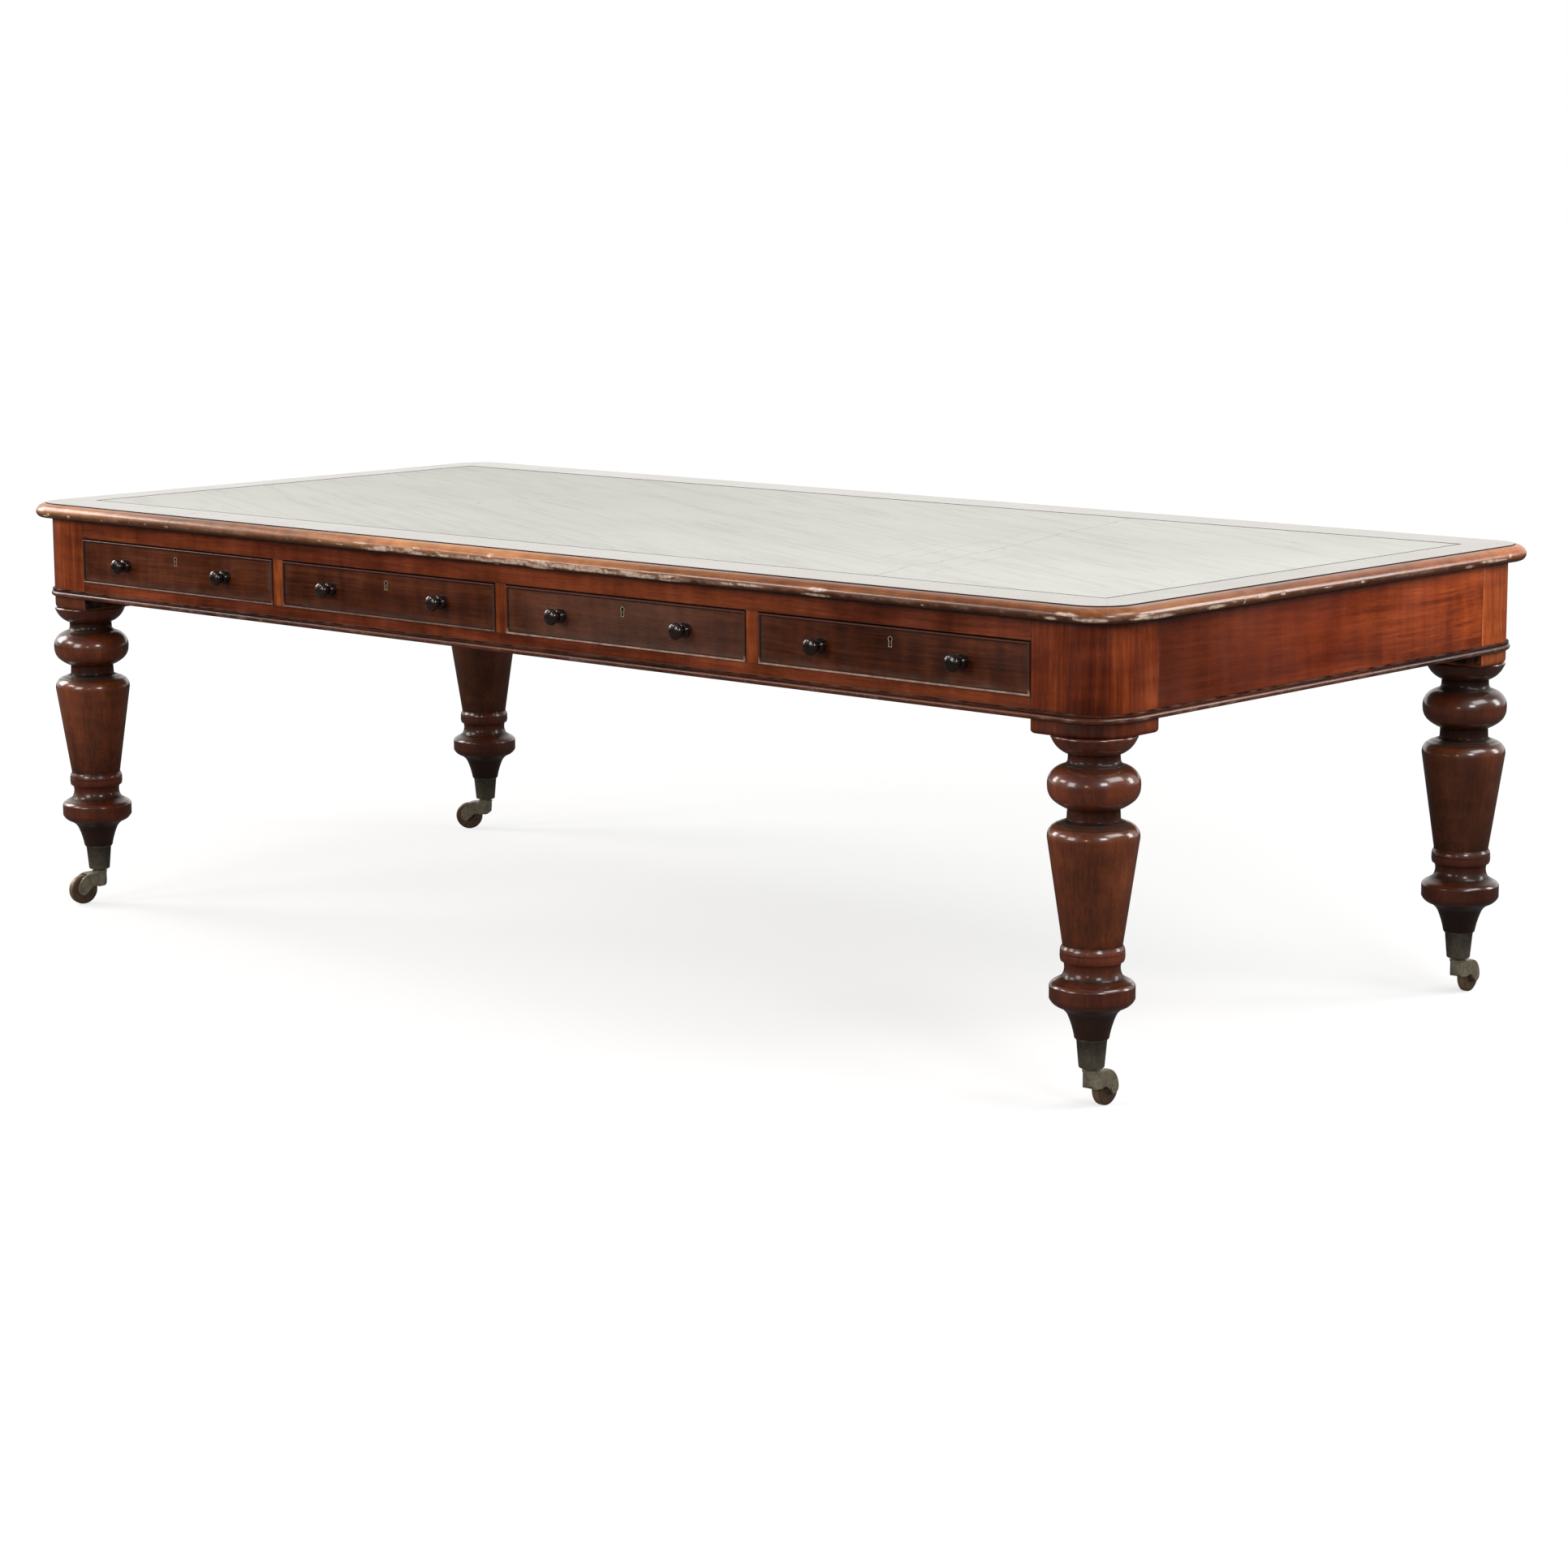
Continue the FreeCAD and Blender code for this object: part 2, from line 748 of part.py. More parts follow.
def keyhole(rim, start, end, top):
    """A keyhole-shaped prism through the drawer front: a round head over a spreading foot."""
    radius = keyhole_head_radius - rim
    centre = top - keyhole_head_radius
    foot = top - keyhole_height + rim
    half_foot = keyhole_foot_width / 2 - rim
    half_neck = keyhole_neck_width / 2 - rim
    stem = outline([(-half_foot, foot), (half_foot, foot), (half_neck, centre), (-half_neck, centre)])
    stem = stem.translated(Vector(0, start, 0)).extrude(Vector(0, end - start, 0))
    head = rod(radius, Vector(0, start, centre), Vector(0, end, centre))
    return one_solid(stem.fuse(head))


def drawer_lock(high):
    """The brass keyhole rim let into the face, and the lock case let into the back of the front."""
    top = high - keyhole_drop + keyhole_head_radius
    rim = keyhole(0, -keyhole_rim_proud, keyhole_rim_depth, top)
    opening_start = -keyhole_rim_proud - cut_overrun
    rim = rim.cut(keyhole(keyhole_rim, opening_start, keyhole_rim_depth + cut_overrun, top))
    case_front = drawer_front_thickness - lock_case_thickness
    case_top = high - cockbead_width
    case = block(
        (-lock_case_width / 2, lock_case_width / 2),
        (case_front, drawer_front_thickness),
        (case_top - lock_case_height, case_top),
    )
    plate = block(
        (-lock_plate_width / 2, lock_plate_width / 2),
        (case_front, drawer_front_thickness),
        (case_top - lock_plate_thickness, case_top),
    )
    bore = keyhole(keyhole_rim, 0, case_front, top)
    return [rim.Solids[0], one_solid(case.fuse(plate))], bore


def drawer():
    """One drawer with its face at y zero, facing -Y: front, boxwork, knobs and lock."""
    half_width = opening_width / 2 - drawer_side_gap
    low = opening_bottom + drawer_foot_gap
    high = opening_top - drawer_head_gap
    side_high = high - drawer_side_drop
    panel_low = low + drawer_bottom_raise
    panel_high = panel_low + drawer_bottom_thickness
    inner_face = half_width - drawer_side_thickness
    groove_reach = inner_face + drawer_groove_depth
    bottom = block(
        (-groove_reach, groove_reach),
        (drawer_front_thickness - drawer_groove_depth, drawer_length),
        (panel_low, panel_high),
    )
    right = drawer_side(half_width, low, side_high, panel_high)
    left = right.mirror(origin, Vector(1, 0, 0))
    back = block(
        (-half_width, half_width),
        (drawer_length - drawer_side_thickness, drawer_length),
        (panel_high, side_high),
    ).cut([left, right])
    beads = cockbeads(half_width, low, high)
    pair = knobs((low + high) / 2)
    lock, bore = drawer_lock(high)
    front = block((-half_width, half_width), (0, drawer_front_thickness), (low, high))
    rim_top = high - keyhole_drop + keyhole_head_radius
    rim_bed = keyhole(-keyhole_bed_gap, 0, keyhole_rim_depth + keyhole_bed_gap, rim_top)
    front = front.cut(beads + [left, right, bottom] + pair + [lock[1], bore, rim_bed])
    sides = [side.cut(bottom).Solids[0] for side in (left, right)]
    return {
        "front": [max(front.Solids, key=lambda solid: solid.Volume)] + beads,
        "box": sides + [back.Solids[0], bottom],
        "knobs": pair,
        "lock": lock,
    }


def save(name, solids):
    """One file for each sub-part."""
    Part.makeCompound(solids).exportStep("parts/" + name + ".step")


def build():
    """Makes every sub-part and writes its file."""
    border, panel, leather = top_boards()
    front_rails = [long_rail(opening_top, frieze_top), long_rail(frieze_bottom, opening_bottom)]
    back_rails = [placed(rail, 0, 0, half_turn) for rail in front_rails]
    rails = front_rails + back_rails
    end_rails = [end_rail(), placed(end_rail(), 0, 0, half_turn)]
    front_dividers = [divider(x) for x in divider_places()]
    dividers = front_dividers + [placed(piece, 0, 0, half_turn) for piece in front_dividers]
    leg = turned_leg()
    horn, axle = caster_horn()
    wheel = caster_wheel()

    posts = []
    cups = []
    for name, (x_share, y_share) in corner_shares.items():
        x, y = x_share * leg_x, y_share * leg_y
        turn = trail_angles[name]
        leg_here = placed(leg, x, y)
        post = corner_post(x_share, y_share, rails + end_rails, leg_here)
        posts.append(post)
        cups.append(placed(caster_cup(), x, y))
        save("corner_post_" + name, [post])
        save("leg_" + name, [leg_here])
        save("caster_horn_" + name, [placed(horn, x, y, turn), placed(axle, x, y, turn)])
        save("caster_wheel_" + name, [placed(wheel, x, y, turn)])
    save("caster_cups", cups)

    bearers = cross_pieces(opening_bottom - bearer_thickness, opening_bottom, posts)
    kickers = cross_pieces(opening_top, opening_top + bearer_thickness, posts)
    middle_rail = centre_rail()
    housed_rails = [rail.cut(dividers + bearers + kickers).Solids[0] for rail in rails]

    save("top_border", border)
    save("top_edge_moulding", edge_moulding())
    save("top_panel", [panel])
    save("leather_inset", [leather])
    save("long_rails", housed_rails)
    save("end_rails", [rail.cut(middle_rail).Solids[0] for rail in end_rails])
    save("drawer_dividers", dividers)
    save("drawer_runners", bearers + guides())
    save("drawer_kickers", kickers)
    save("centre_rail", [middle_rail])
    save("frieze_bead", frieze_bead())

    pieces = drawer()
    places = [(x, -half_depth, 0.0) for x in drawer_places()]
    places += [(-x, half_depth, half_turn) for x in drawer_places()]
    for number, (x, y, turn) in enumerate(places, 1):
        for part_name, solids in pieces.items():
            name = "drawer_" + str(number) + "_" + part_name
            save(name, [placed(solid, x, y, turn) for solid in solids])


build()
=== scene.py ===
import math
import random

import bpy
import numpy as np
from mathutils import Matrix, Vector
from mathutils import noise as blender_noise


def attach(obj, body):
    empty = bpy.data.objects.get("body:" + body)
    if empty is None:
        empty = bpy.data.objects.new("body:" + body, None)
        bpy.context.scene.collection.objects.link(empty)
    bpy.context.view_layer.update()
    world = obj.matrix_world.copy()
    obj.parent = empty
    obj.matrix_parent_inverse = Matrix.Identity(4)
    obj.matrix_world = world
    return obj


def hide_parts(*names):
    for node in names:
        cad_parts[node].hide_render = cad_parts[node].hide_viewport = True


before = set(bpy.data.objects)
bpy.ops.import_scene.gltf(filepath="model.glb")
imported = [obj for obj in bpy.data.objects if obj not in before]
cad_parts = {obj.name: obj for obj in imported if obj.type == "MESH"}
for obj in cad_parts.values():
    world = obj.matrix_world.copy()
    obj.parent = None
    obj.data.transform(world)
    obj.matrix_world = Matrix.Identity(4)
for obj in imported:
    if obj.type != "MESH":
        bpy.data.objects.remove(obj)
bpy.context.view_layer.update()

# Sizes in metres, in the frame of the table
TABLE_HEIGHT = 0.76
BORDER_FACE = TABLE_HEIGHT - 0.0002
FRIEZE_TOP = 0.733
FRIEZE_BOTTOM = 0.5866
BEAD_TOP = FRIEZE_BOTTOM + 0.0137
POST_BOTTOM = 0.5644
TOP_LENGTH = 2.546
TOP_DEPTH = 1.176
TOP_CORNER_RADIUS = 0.078
MOULDING_WIDTH = 0.0196
END_BORDER = 0.07
SIDE_BORDER = 0.09
FRIEZE_LENGTH = 2.5
FRIEZE_DEPTH = 1.13
FRIEZE_CORNER_RADIUS = 0.072
LEG_X = 1.1815
LEG_Y = 0.5015
LEG_RADIUS = 0.06865
CUP_TOP = 0.1093
CUP_BOTTOM = 0.0643
WHEEL_RADIUS = 0.0275
CASTER_TRAIL = 0.035
DRAWER_SPACING = 0.562875
DIVIDER_WIDTH = 0.0255
KNOB_REACH = 0.139718
KNOB_HEIGHT = 0.65865
OPENING_TOP = 0.7007
OPENING_BOTTOM = 0.6185
POST_INNER_X = 1.113
POST_INNER_Y = 0.438
COCKBEAD_INNER_X = 0.2641
COCKBEAD_INNER_LOW = 0.6221
COCKBEAD_INNER_HIGH = 0.6952

# The leather: its sheet, how far its waves sink and how wide the dark line round it is
LEATHER_LENGTH = 2.3662
LEATHER_DEPTH = 0.9562
LEATHER_THICKNESS = 0.0015
LEATHER_TOP = TABLE_HEIGHT - 0.00012
LEATHER_WAVE = 0.00022
LEATHER_RIM = 0.0065

# Creases of the leather: where each crosses the middle line, its slant, half its width, its ends
LEATHER_CREASES = [
    (0.625, -0.235, 0.0011, -0.478, 0.478),
    (0.56, -0.2, 0.0007, -0.25, 0.2),
    (0.505, -0.26, 0.0006, -0.34, -0.02),
    (0.69, -0.215, 0.0006, -0.4, -0.1),
]

# Dark specks on the leather: where each lies and how far it reaches
LEATHER_SPECKS = [
    (0.649, -0.053, 0.005), (0.955, 0.327, 0.0055), (-0.583, -0.063, 0.006),
    (1.136, -0.252, 0.0035), (0.21, 0.19, 0.003), (-0.92, 0.28, 0.0035),
]

# The brass casters
CUP_TOP_RADIUS = 0.024
CUP_BOTTOM_RADIUS = 0.0194
CUP_WALL = 0.0018
CUP_FLOOR = 0.006
PINTLE_BORE = 0.00506
WHEEL_WIDTH = 0.019
WHEEL_BORE = 0.00306
WHEEL_HUB_RADIUS = 0.009

# Where each corner is, and which way its caster trails, counted from +X
CORNERS = {
    "front_left": (-1, -1, 258.0),
    "front_right": (1, -1, 92.0),
    "back_left": (-1, 1, 214.0),
    "back_right": (1, 1, 94.0),
}

# The photograph's camera
CAMERA_PLACE = Vector((4.4923, -4.8242, 1.4246))
CAMERA_YAW = math.radians(42.2179)
CAMERA_PITCH = math.radians(9.7562)
CAMERA_ROLL = math.radians(-0.2981)
CAMERA_LENS = 86.57
CAMERA_SENSOR = 36.0


def make_camera():
    """The camera of the photograph, turned by its yaw, pitch and roll."""
    forward = Vector((
        -math.sin(CAMERA_YAW) * math.cos(CAMERA_PITCH),
        math.cos(CAMERA_YAW) * math.cos(CAMERA_PITCH),
        -math.sin(CAMERA_PITCH),
    ))
    right = Vector((math.cos(CAMERA_YAW), math.sin(CAMERA_YAW), 0))
    up = right.cross(forward)
    rolled_right = right * math.cos(CAMERA_ROLL) + up * math.sin(CAMERA_ROLL)
    rolled_up = up * math.cos(CAMERA_ROLL) - right * math.sin(CAMERA_ROLL)
    data = bpy.data.cameras.new("photo_camera")
    data.lens = CAMERA_LENS
    data.sensor_width = CAMERA_SENSOR
    data.clip_end = 100
    camera = bpy.data.objects.new("photo_camera", data)
    turn = Matrix((rolled_right, rolled_up, -forward)).transposed()
    camera.matrix_world = Matrix.Translation(CAMERA_PLACE) @ turn.to_4x4()
    bpy.context.scene.collection.objects.link(camera)
    bpy.context.scene.camera = camera


# Nodes of the materials and of the world

class Value:
    """A node's output to reckon with as with a number. Each result is a node's output too."""

    def __init__(self, socket):
        self.socket = socket
        self.tree = socket.id_data

    def __add__(self, other):
        return maths("ADD", self, other)

    def __sub__(self, other):
        return maths("SUBTRACT", self, other)

    def __rsub__(self, other):
        return maths("SUBTRACT", other, self)

    def __mul__(self, other):
        return maths("MULTIPLY", self, other)

    def __gt__(self, other):
        return maths("GREATER_THAN", self, other)

    def __lt__(self, other):
        return maths("LESS_THAN", self, other)

    def __abs__(self):
        return maths("ABSOLUTE", self)


def add(tree, kind, inputs=None, **settings):
    """A node with its settings and inputs. An input is a plain value or a node's output."""
    node = tree.nodes.new("ShaderNode" + kind)
    for key, value in settings.items():
        setattr(node, key, value)
    for key, value in (inputs or {}).items():
        if isinstance(value, Value):
            tree.links.new(value.socket, node.inputs[key])
        else:
            node.inputs[key].default_value = value
    return node


def output_of(kind, inputs, output=0, **settings):
    """The output of a new node in the tree of its inputs."""
    tree = next(value.tree for value in inputs.values() if isinstance(value, Value))
    return Value(add(tree, kind, inputs, **settings).outputs[output])


def maths(operation, *values, clamp=False):
    inputs = dict(enumerate(values))
    return output_of("Math", inputs, operation=operation, use_clamp=clamp)


def vector_maths(operation, *values, output=0):
    return output_of("VectorMath", dict(enumerate(values)), output, operation=operation)


def spread(value, low, high, first=0.0, last=1.0):
    """A value's range from low to high taken to the range from first to last."""
    return output_of("MapRange", dict(enumerate((value, low, high, first, last))))


def noise(place, scale, detail=3.0, roughness=0.5, distortion=0.0):
    inputs = {"Vector": place, "Scale": scale, "Detail": detail, "Roughness": roughness}
    inputs["Distortion"] = distortion
    return output_of("TexNoise", inputs)


def stretched(place, scale):
    """Coordinates scaled by a different amount each way."""
    return output_of("Mapping", {"Vector": place, "Scale": scale})


def ramp(value, stops, smooth=False):
    """A colour ramp. Each stop is a place and a linear colour or grey."""
    node = add(value.tree, "ValToRGB", {"Fac": value})
    node.color_ramp.interpolation = "EASE" if smooth else "LINEAR"
    elements = node.color_ramp.elements
    while len(elements) < len(stops):
        elements.new(1.0)
    for element, (place, colour) in zip(elements, stops):
        element.position = place
        colour = (colour,) * 3 if isinstance(colour, (int, float)) else colour
        element.color = (*colour, 1.0)
    return Value(node.outputs[0])


def mix(share, first, second, blend="MIX"):
    """Two colours or greys mixed."""
    inputs = {0: share}
    for index, value in ((6, first), (7, second)):
        value = (value,) * 3 if isinstance(value, (int, float)) else value
        inputs[index] = value if isinstance(value, Value) else (*value, 1.0)
    return output_of("Mix", inputs, 2, data_type="RGBA", blend_type=blend)


def shaded(colour, value, stops):
    """A colour multiplied by shades of at most 4 at places along a value."""
    shades = ramp(value, [(place, [share / 4 for share in shade]) for place, shade in stops])
    return vector_maths("MULTIPLY", vector_maths("MULTIPLY", colour, shades), (4, 4, 4))


def grain(place, along, length, width, detail, roughness=0.5, distortion=0.0):
    """Noise drawn out along one axis: scaled by a length that way and by a width across it."""
    scale = [width] * 3
    scale[along] = length
    return noise(stretched(place, scale), 1.0, detail, roughness, distortion)


def near(value, place, reach):
    """1 where a value is at a place, falling to 0 at its reach."""
    return maths("SUBTRACT", 1.0, maths("DIVIDE", abs(value - place), reach), clamp=True)


def coordinates(tree):
    """The coordinates of the object."""
    return Value(add(tree, "TexCoord").outputs["Object"])


def attribute(tree, name):
    """What each point of a mesh carries under a name."""
    return Value(add(tree, "Attribute", attribute_name=name).outputs["Fac"])


def new_material(name):
    """An empty material, the coordinates of its object, and their three axes one by one."""
    material = bpy.data.materials.new(name)
    material.use_nodes = True
    material.node_tree.nodes.clear()
    base = coordinates(material.node_tree)
    axes = add(material.node_tree, "SeparateXYZ", {0: base}).outputs
    return material, base, [Value(socket) for socket in axes]


def finish_material(material, colour, roughness, height, bump, distance, **sockets):
    """Joins colour, roughness and a height to the shader, and sets its other sockets."""
    normal = {"Height": height, "Strength": bump, "Distance": distance}
    inputs = {key.replace("_", " "): value for key, value in sockets.items()}
    inputs.update({"Base Color": colour, "Roughness": roughness})
    inputs["Normal"] = output_of("Bump", normal)
    shader = output_of("BsdfPrincipled", inputs)
    add(material.node_tree, "OutputMaterial", {0: shader})
    return material


def mahogany_tone(base, along, figure, streaks):
    """How light the wood is, where its pores are and its streaks, with the grain along one axis."""
    sway = maths("MULTIPLY_ADD", grain(base, along, 1.1, 4.0, 2.0), 0.06, -0.03)
    swayed = vector_maths("ADD", base, sway)
    broad = grain(swayed, along, 1.4, 15.0, 3.0)
    streak = grain(swayed, along, 5.0, 190.0, 4.0, 0.6)
    fine = grain(swayed, along, 22.0, 700.0, 2.0, 0.6)
    ribbon = grain(swayed, along, 38.0, 7.0, 2.0)
    pores = grain(base, along, 80.0, 2300.0, 1.0)
    tone = maths("MULTIPLY_ADD", broad, 0.62, -0.31)
    layers = ((streak, 0.5 * streaks, 0), (fine, 0.24, 0), (ribbon, 0.4 * figure, 0.5))
    for layer, share, lift in layers:
        tone = tone + maths("MULTIPLY_ADD", layer, share, lift - share / 2)
    return tone, ramp(pores, [(0.34, 1.0), (0.42, 0.0)]), streak


def end_mask(axes, length, depth, slope=1.0):
    """1 on the end pieces of a mitred frame and 0 on its long ones, and how near the mitre is."""
    from_end = (length / 2 - abs(axes[0])) * slope
    from_side = depth / 2 - abs(axes[1])
    return from_side > from_end, near(from_side - from_end, 0.0, 0.0009)


def add_grime_and_shade(colour, rough, mask, shade, strength=1.0):
    """Colour and roughness with dust, old polish, painted shade and painted highlights where a mask
    says, broken up by noise.
    """
    broken = ramp(noise(coordinates(colour.tree), 55.0, 4.0, 0.65), [(0.3, 0.35), (0.6, 1.0)])
    mask = maths("MULTIPLY", mask * broken, strength, clamp=True)
    return mix(mask, colour, shade), mix(mask, rough, 0.55)


# Colours of dirt and wear, some also painted light: the polish grime colour also paints shade under the
# moulding, black paints shade in narrow gaps, and the bare wood colour is partly worn wood and partly
# painted sheen
GRIME_AND_SHADE = (0.01, 0.006, 0.004)
GREY_DUST = (0.075, 0.066, 0.052)
DARK_DUST = (0.036, 0.031, 0.024)
PAINTED_SHADE_BLACK = (0.004, 0.003, 0.002)
BARE_WOOD_AND_SHEEN = (0.6, 0.44, 0.35)
BARE_BRASS = (0.21, 0.15, 0.085)


def wood(name, axis, tones, figure=0.6, roughness=0.28, coat=0.0, coat_roughness=0.12, specular=0.3,
         frame_size=None, grime=None, attributes=False, tint=None, patina=0.35, bump=0.05, gloss=None,
         streaks=1.0, pore=0.45):
    """Polished mahogany in a dark, a middle and a light tone. Its grain runs along an axis, or along
    each length of a mitred frame whose length, depth and mitre slope are given. Grime gives masks
    of dirt and of painted shade and light, with their colours and strengths from the axes."""
    material, base, axes = new_material(name)
    if frame_size:
        ends, mitre = end_mask(axes, *frame_size)
        pairs = zip(*(mahogany_tone(base, along, figure, streaks) for along in (0, 1)))
        tone, pores, streak = (mix(ends, *pair) for pair in pairs)
    else:
        tone, pores, streak = mahogany_tone(base, "xyz".index(axis), figure, streaks)
    colour = ramp(tone, list(zip((0.33, 0.5, 0.68), tones)))
    if tint:
        colour = tint(axes, colour)
    colour = mix(pores * pore, colour, [c * 0.4 for c in tones[0]])
    smudge = noise(base, 7.0, 4.0, 0.6)
    shade = ramp(smudge, [(0.32, 1.0 - patina), (0.62, 1.0 + 0.15 * patina)])
    colour = mix(1.0, colour, shade, "MULTIPLY")
    rough = ramp(smudge, [(0.3, roughness * 0.75), (0.7, roughness * 1.4)])
    if frame_size:
        colour, rough = add_grime_and_shade(colour, rough, mitre, GRIME_AND_SHADE)
    for mask, shade, strength in (grime(axes) if grime else []):
        colour, rough = add_grime_and_shade(colour, rough, mask, shade, strength)
    height = streak * 0.5 - pores
    if gloss:
        coat = gloss(axes)
    if attributes:
        hollow, worn = (attribute(base.tree, key) for key in ("hollow", "worn"))
        colour, rough = add_grime_and_shade(colour, rough, hollow, GRIME_AND_SHADE, 1.1)
        patches = ramp(noise(base, 130.0, 4.0, 0.7), [(0.38, 0.0), (0.55, 1.0)])
        worn = maths("MULTIPLY", worn, maths("MULTIPLY_ADD", patches, 0.75, 0.25), clamp=True)
        # Worn places painted pale, partly as bare wood and partly as painted sheen
        colour = mix(worn, colour, BARE_WOOD_AND_SHEEN)
        height = height - worn * 0.6
        clear = maths("SUBTRACT", 1.0, hollow, clamp=True)
        coat = clear * coat
        specular = clear * specular
    return finish_material(material, colour, rough, height, bump, 0.0004, Coat_Weight=coat,
                           Coat_Roughness=coat_roughness, Specular_IOR_Level=specular)


def plain_wood(name, axis, dark, light, roughness=0.6):
    """Unpolished oak or pine inside the table, with a few darker rings and dust."""
    material, base, _ = new_material(name)
    rings = grain(base, "xyz".index(axis), 2.2, 70.0, 4.0, 0.6, 0.5)
    pores = grain(base, "xyz".index(axis), 30.0, 900.0, 2.0, 0.6)
    colour = ramp(rings, [(0.3, dark), (0.65, light)])
    colour = mix(ramp(pores, [(0.32, 0.6), (0.45, 0.0)]), colour, [c * 0.45 for c in dark])
    stain = noise(base, 4.0, 4.0, 0.6)
    colour = mix(1.0, colour, ramp(stain, [(0.35, 0.72), (0.6, 1.0)]), "MULTIPLY")
    rough = ramp(stain, [(0.3, roughness), (0.7, roughness * 1.2)])
    return finish_material(material, colour, rough, pores, 0.15, 0.0004)


def leather_marks(base, axes):
    """How plain each joint, crease, fold and dark speck of the leather is."""
    # A joint between two skins, drawn a little askew, and shorter creases beside it
    wander = maths("MULTIPLY_ADD", noise(base, 7.0, 4.0, 0.6), 0.05, -0.025)
    lines = []
    for x, slope, reach, low, high in LEATHER_CREASES:
        across = maths("MULTIPLY_ADD", axes[1], slope, x) + wander
        lines.append(near(axes[0], across, reach) * ((axes[1] > low) * (axes[1] < high)))
    slant = output_of("VectorRotate", {"Vector": base, "Angle": math.radians(24)},
                      rotation_type="Z_AXIS")
    folds = noise(stretched(slant, (2.2, 42.0, 1.0)), 1.0, 4.0, 0.7, 1.2)
    lines.append(ramp(folds, [(0.5, 0.0), (0.62, 0.16), (0.66, 0.0), (0.76, 0.2)]))
    for x, y, reach in LEATHER_SPECKS:
        gap = vector_maths("DISTANCE", base, (x, y, TABLE_HEIGHT), output="Value")
        lines.append(near(gap, 0.0, reach))
    marks = lines[0]
    for line in lines[1:]:
        marks = maths("MAXIMUM", marks, line)
    return marks


def leather(name):
    """Old writing leather: fine grain, slow changes of tone, a joint and creases across it."""
    material, base, axes = new_material(name)
    cloudy = noise(stretched(base, (1.5, 3.5, 1.0)), 1.0, 5.0, 0.6)
    mottle = noise(base, 38.0, 5.0, 0.65)
    cells = output_of("TexVoronoi", {"Vector": base, "Scale": 1100.0}, "Distance")
    marks = leather_marks(base, axes)
    edge = maths("MAXIMUM", near(abs(axes[0]), LEATHER_LENGTH / 2, LEATHER_RIM),
                 near(abs(axes[1]), LEATHER_DEPTH / 2, LEATHER_RIM))
    tone = cloudy * 0.7 + mottle * 0.3
    # The pale grey-green is partly the leather's own colour and partly a painted reflection of the
    # white surround
    colour = ramp(tone, [(0.34, (0.57, 0.577, 0.536)), (0.66, (0.646, 0.653, 0.613))])
    colour = mix(marks * 0.75, colour, (0.05, 0.052, 0.04))
    colour = mix(maths("MULTIPLY", edge, 1.8, clamp=True), colour, (0.018, 0.014, 0.01))
    rough = ramp(mottle, [(0.3, 0.42), (0.7, 0.55)])
    rough = mix(maths("MAXIMUM", marks, edge), rough, 0.62)
    height = cells * 0.05 - marks * 0.2 + mottle * 0.8
    clear = 1.0 - maths("MAXIMUM", edge, marks * 0.7)
    return finish_material(material, colour, rough, height, 0.03, 0.0005, Coat_Weight=clear * 0.03,
                           Coat_Roughness=0.3, Specular_IOR_Level=clear * 0.07)


def old_brass(name, bright, dull, grime, roughness=0.42, metal=0.45, inside=None):
    """Brass gone dull and brown, rubbed bright in places, dirty in its hollows, and painted black as
    shade where it lies deeper than a given way inside a drawer front."""
    material, base, axes = new_material(name)
    patches = noise(base, 70.0, 5.0, 0.65)
    colour = ramp(patches, [(0.38, dull), (0.66, bright)])
    specks = ramp(noise(base, 420.0, 3.0, 0.6), [(0.56, 0.0), (0.66, 0.8)])
    colour = mix(specks, colour, grime)
    rough = ramp(patches, [(0.35, roughness * 1.3), (0.65, roughness * 0.8)])
    colour, rough = add_grime_and_shade(colour, rough, attribute(base.tree, "hollow"), grime)
    colour = mix(attribute(base.tree, "worn") * 0.8, colour, BARE_BRASS)
    # Painted shade: what lies inside the keyhole is black
    if inside:
        deep = abs(axes[1]) < FRIEZE_DEPTH / 2 - inside
        colour = mix(deep, colour, (0.003, 0.002, 0.002))
        metal = (1.0 - deep) * metal
        rough = mix(deep, rough, 0.9)
    return finish_material(material, colour, rough, patches + specks * -0.5, 0.25, 0.0006,
                           Metallic=metal)


# Shape helpers

def outline(points, step=0.0012):
    """Points of a profile. Each given point has its x, its z and the bow of the edge that leads to
    it: a share of the edge's chord, outward where the points run counter-clockwise."""
    result = [np.array(points[0][:2], float)]
    for before, point in zip(points, points[1:]):
        start, end = np.array(before[:2], float), np.array(point[:2], float)
        bow = point[2] if len(point) > 2 else 0
        if not bow:
            result.append(end)
            continue
        chord = end - start
        length = np.linalg.norm(chord)
        normal = np.array([chord[1], -chord[0]]) / length
        sagitta = bow * length
        radius = (length ** 2 / 4 + sagitta ** 2) / (2 * abs(sagitta))
        centre = (start + end) / 2 + normal * (sagitta - math.copysign(radius, sagitta))
        first = math.atan2(*(start - centre)[::-1])
        sweep = 4 * math.atan(2 * abs(bow)) * math.copysign(1, bow)
        count = max(4, int(abs(sweep) * radius / step))
        for number in range(1, count + 1):
            angle = first + sweep * number / count
            result.append(centre + radius * np.array([math.cos(angle), math.sin(angle)]))
    return np.array(result)


def softened(points, radius, closed=False):
    """The same profile with each sharp corner cut to a small curve."""
    count = len(points)
    result = []
    for index, point in enumerate(points):
        if not closed and index in (0, count - 1):
            result.append(point)
            continue
        before, after = points[index - 1], points[(index + 1) % count]
        back, ahead = before - point, after - point
        back_length, ahead_length = np.linalg.norm(back), np.linalg.norm(ahead)
        cosine = np.dot(back, ahead) / max(back_length * ahead_length, 1e-12)
        if cosine < -0.93:
            result.append(point)
            continue
        reach = min(radius, 0.45 * back_length, 0.45 * ahead_length)
        start = point + back / back_length * reach
        end = point + ahead / ahead_length * reach
        for share in (0.0, 0.33, 0.67, 1.0):
            rest = 1 - share
            result.append(rest ** 2 * start + 2 * share * rest * point + share ** 2 * end)
    return np.array(result)


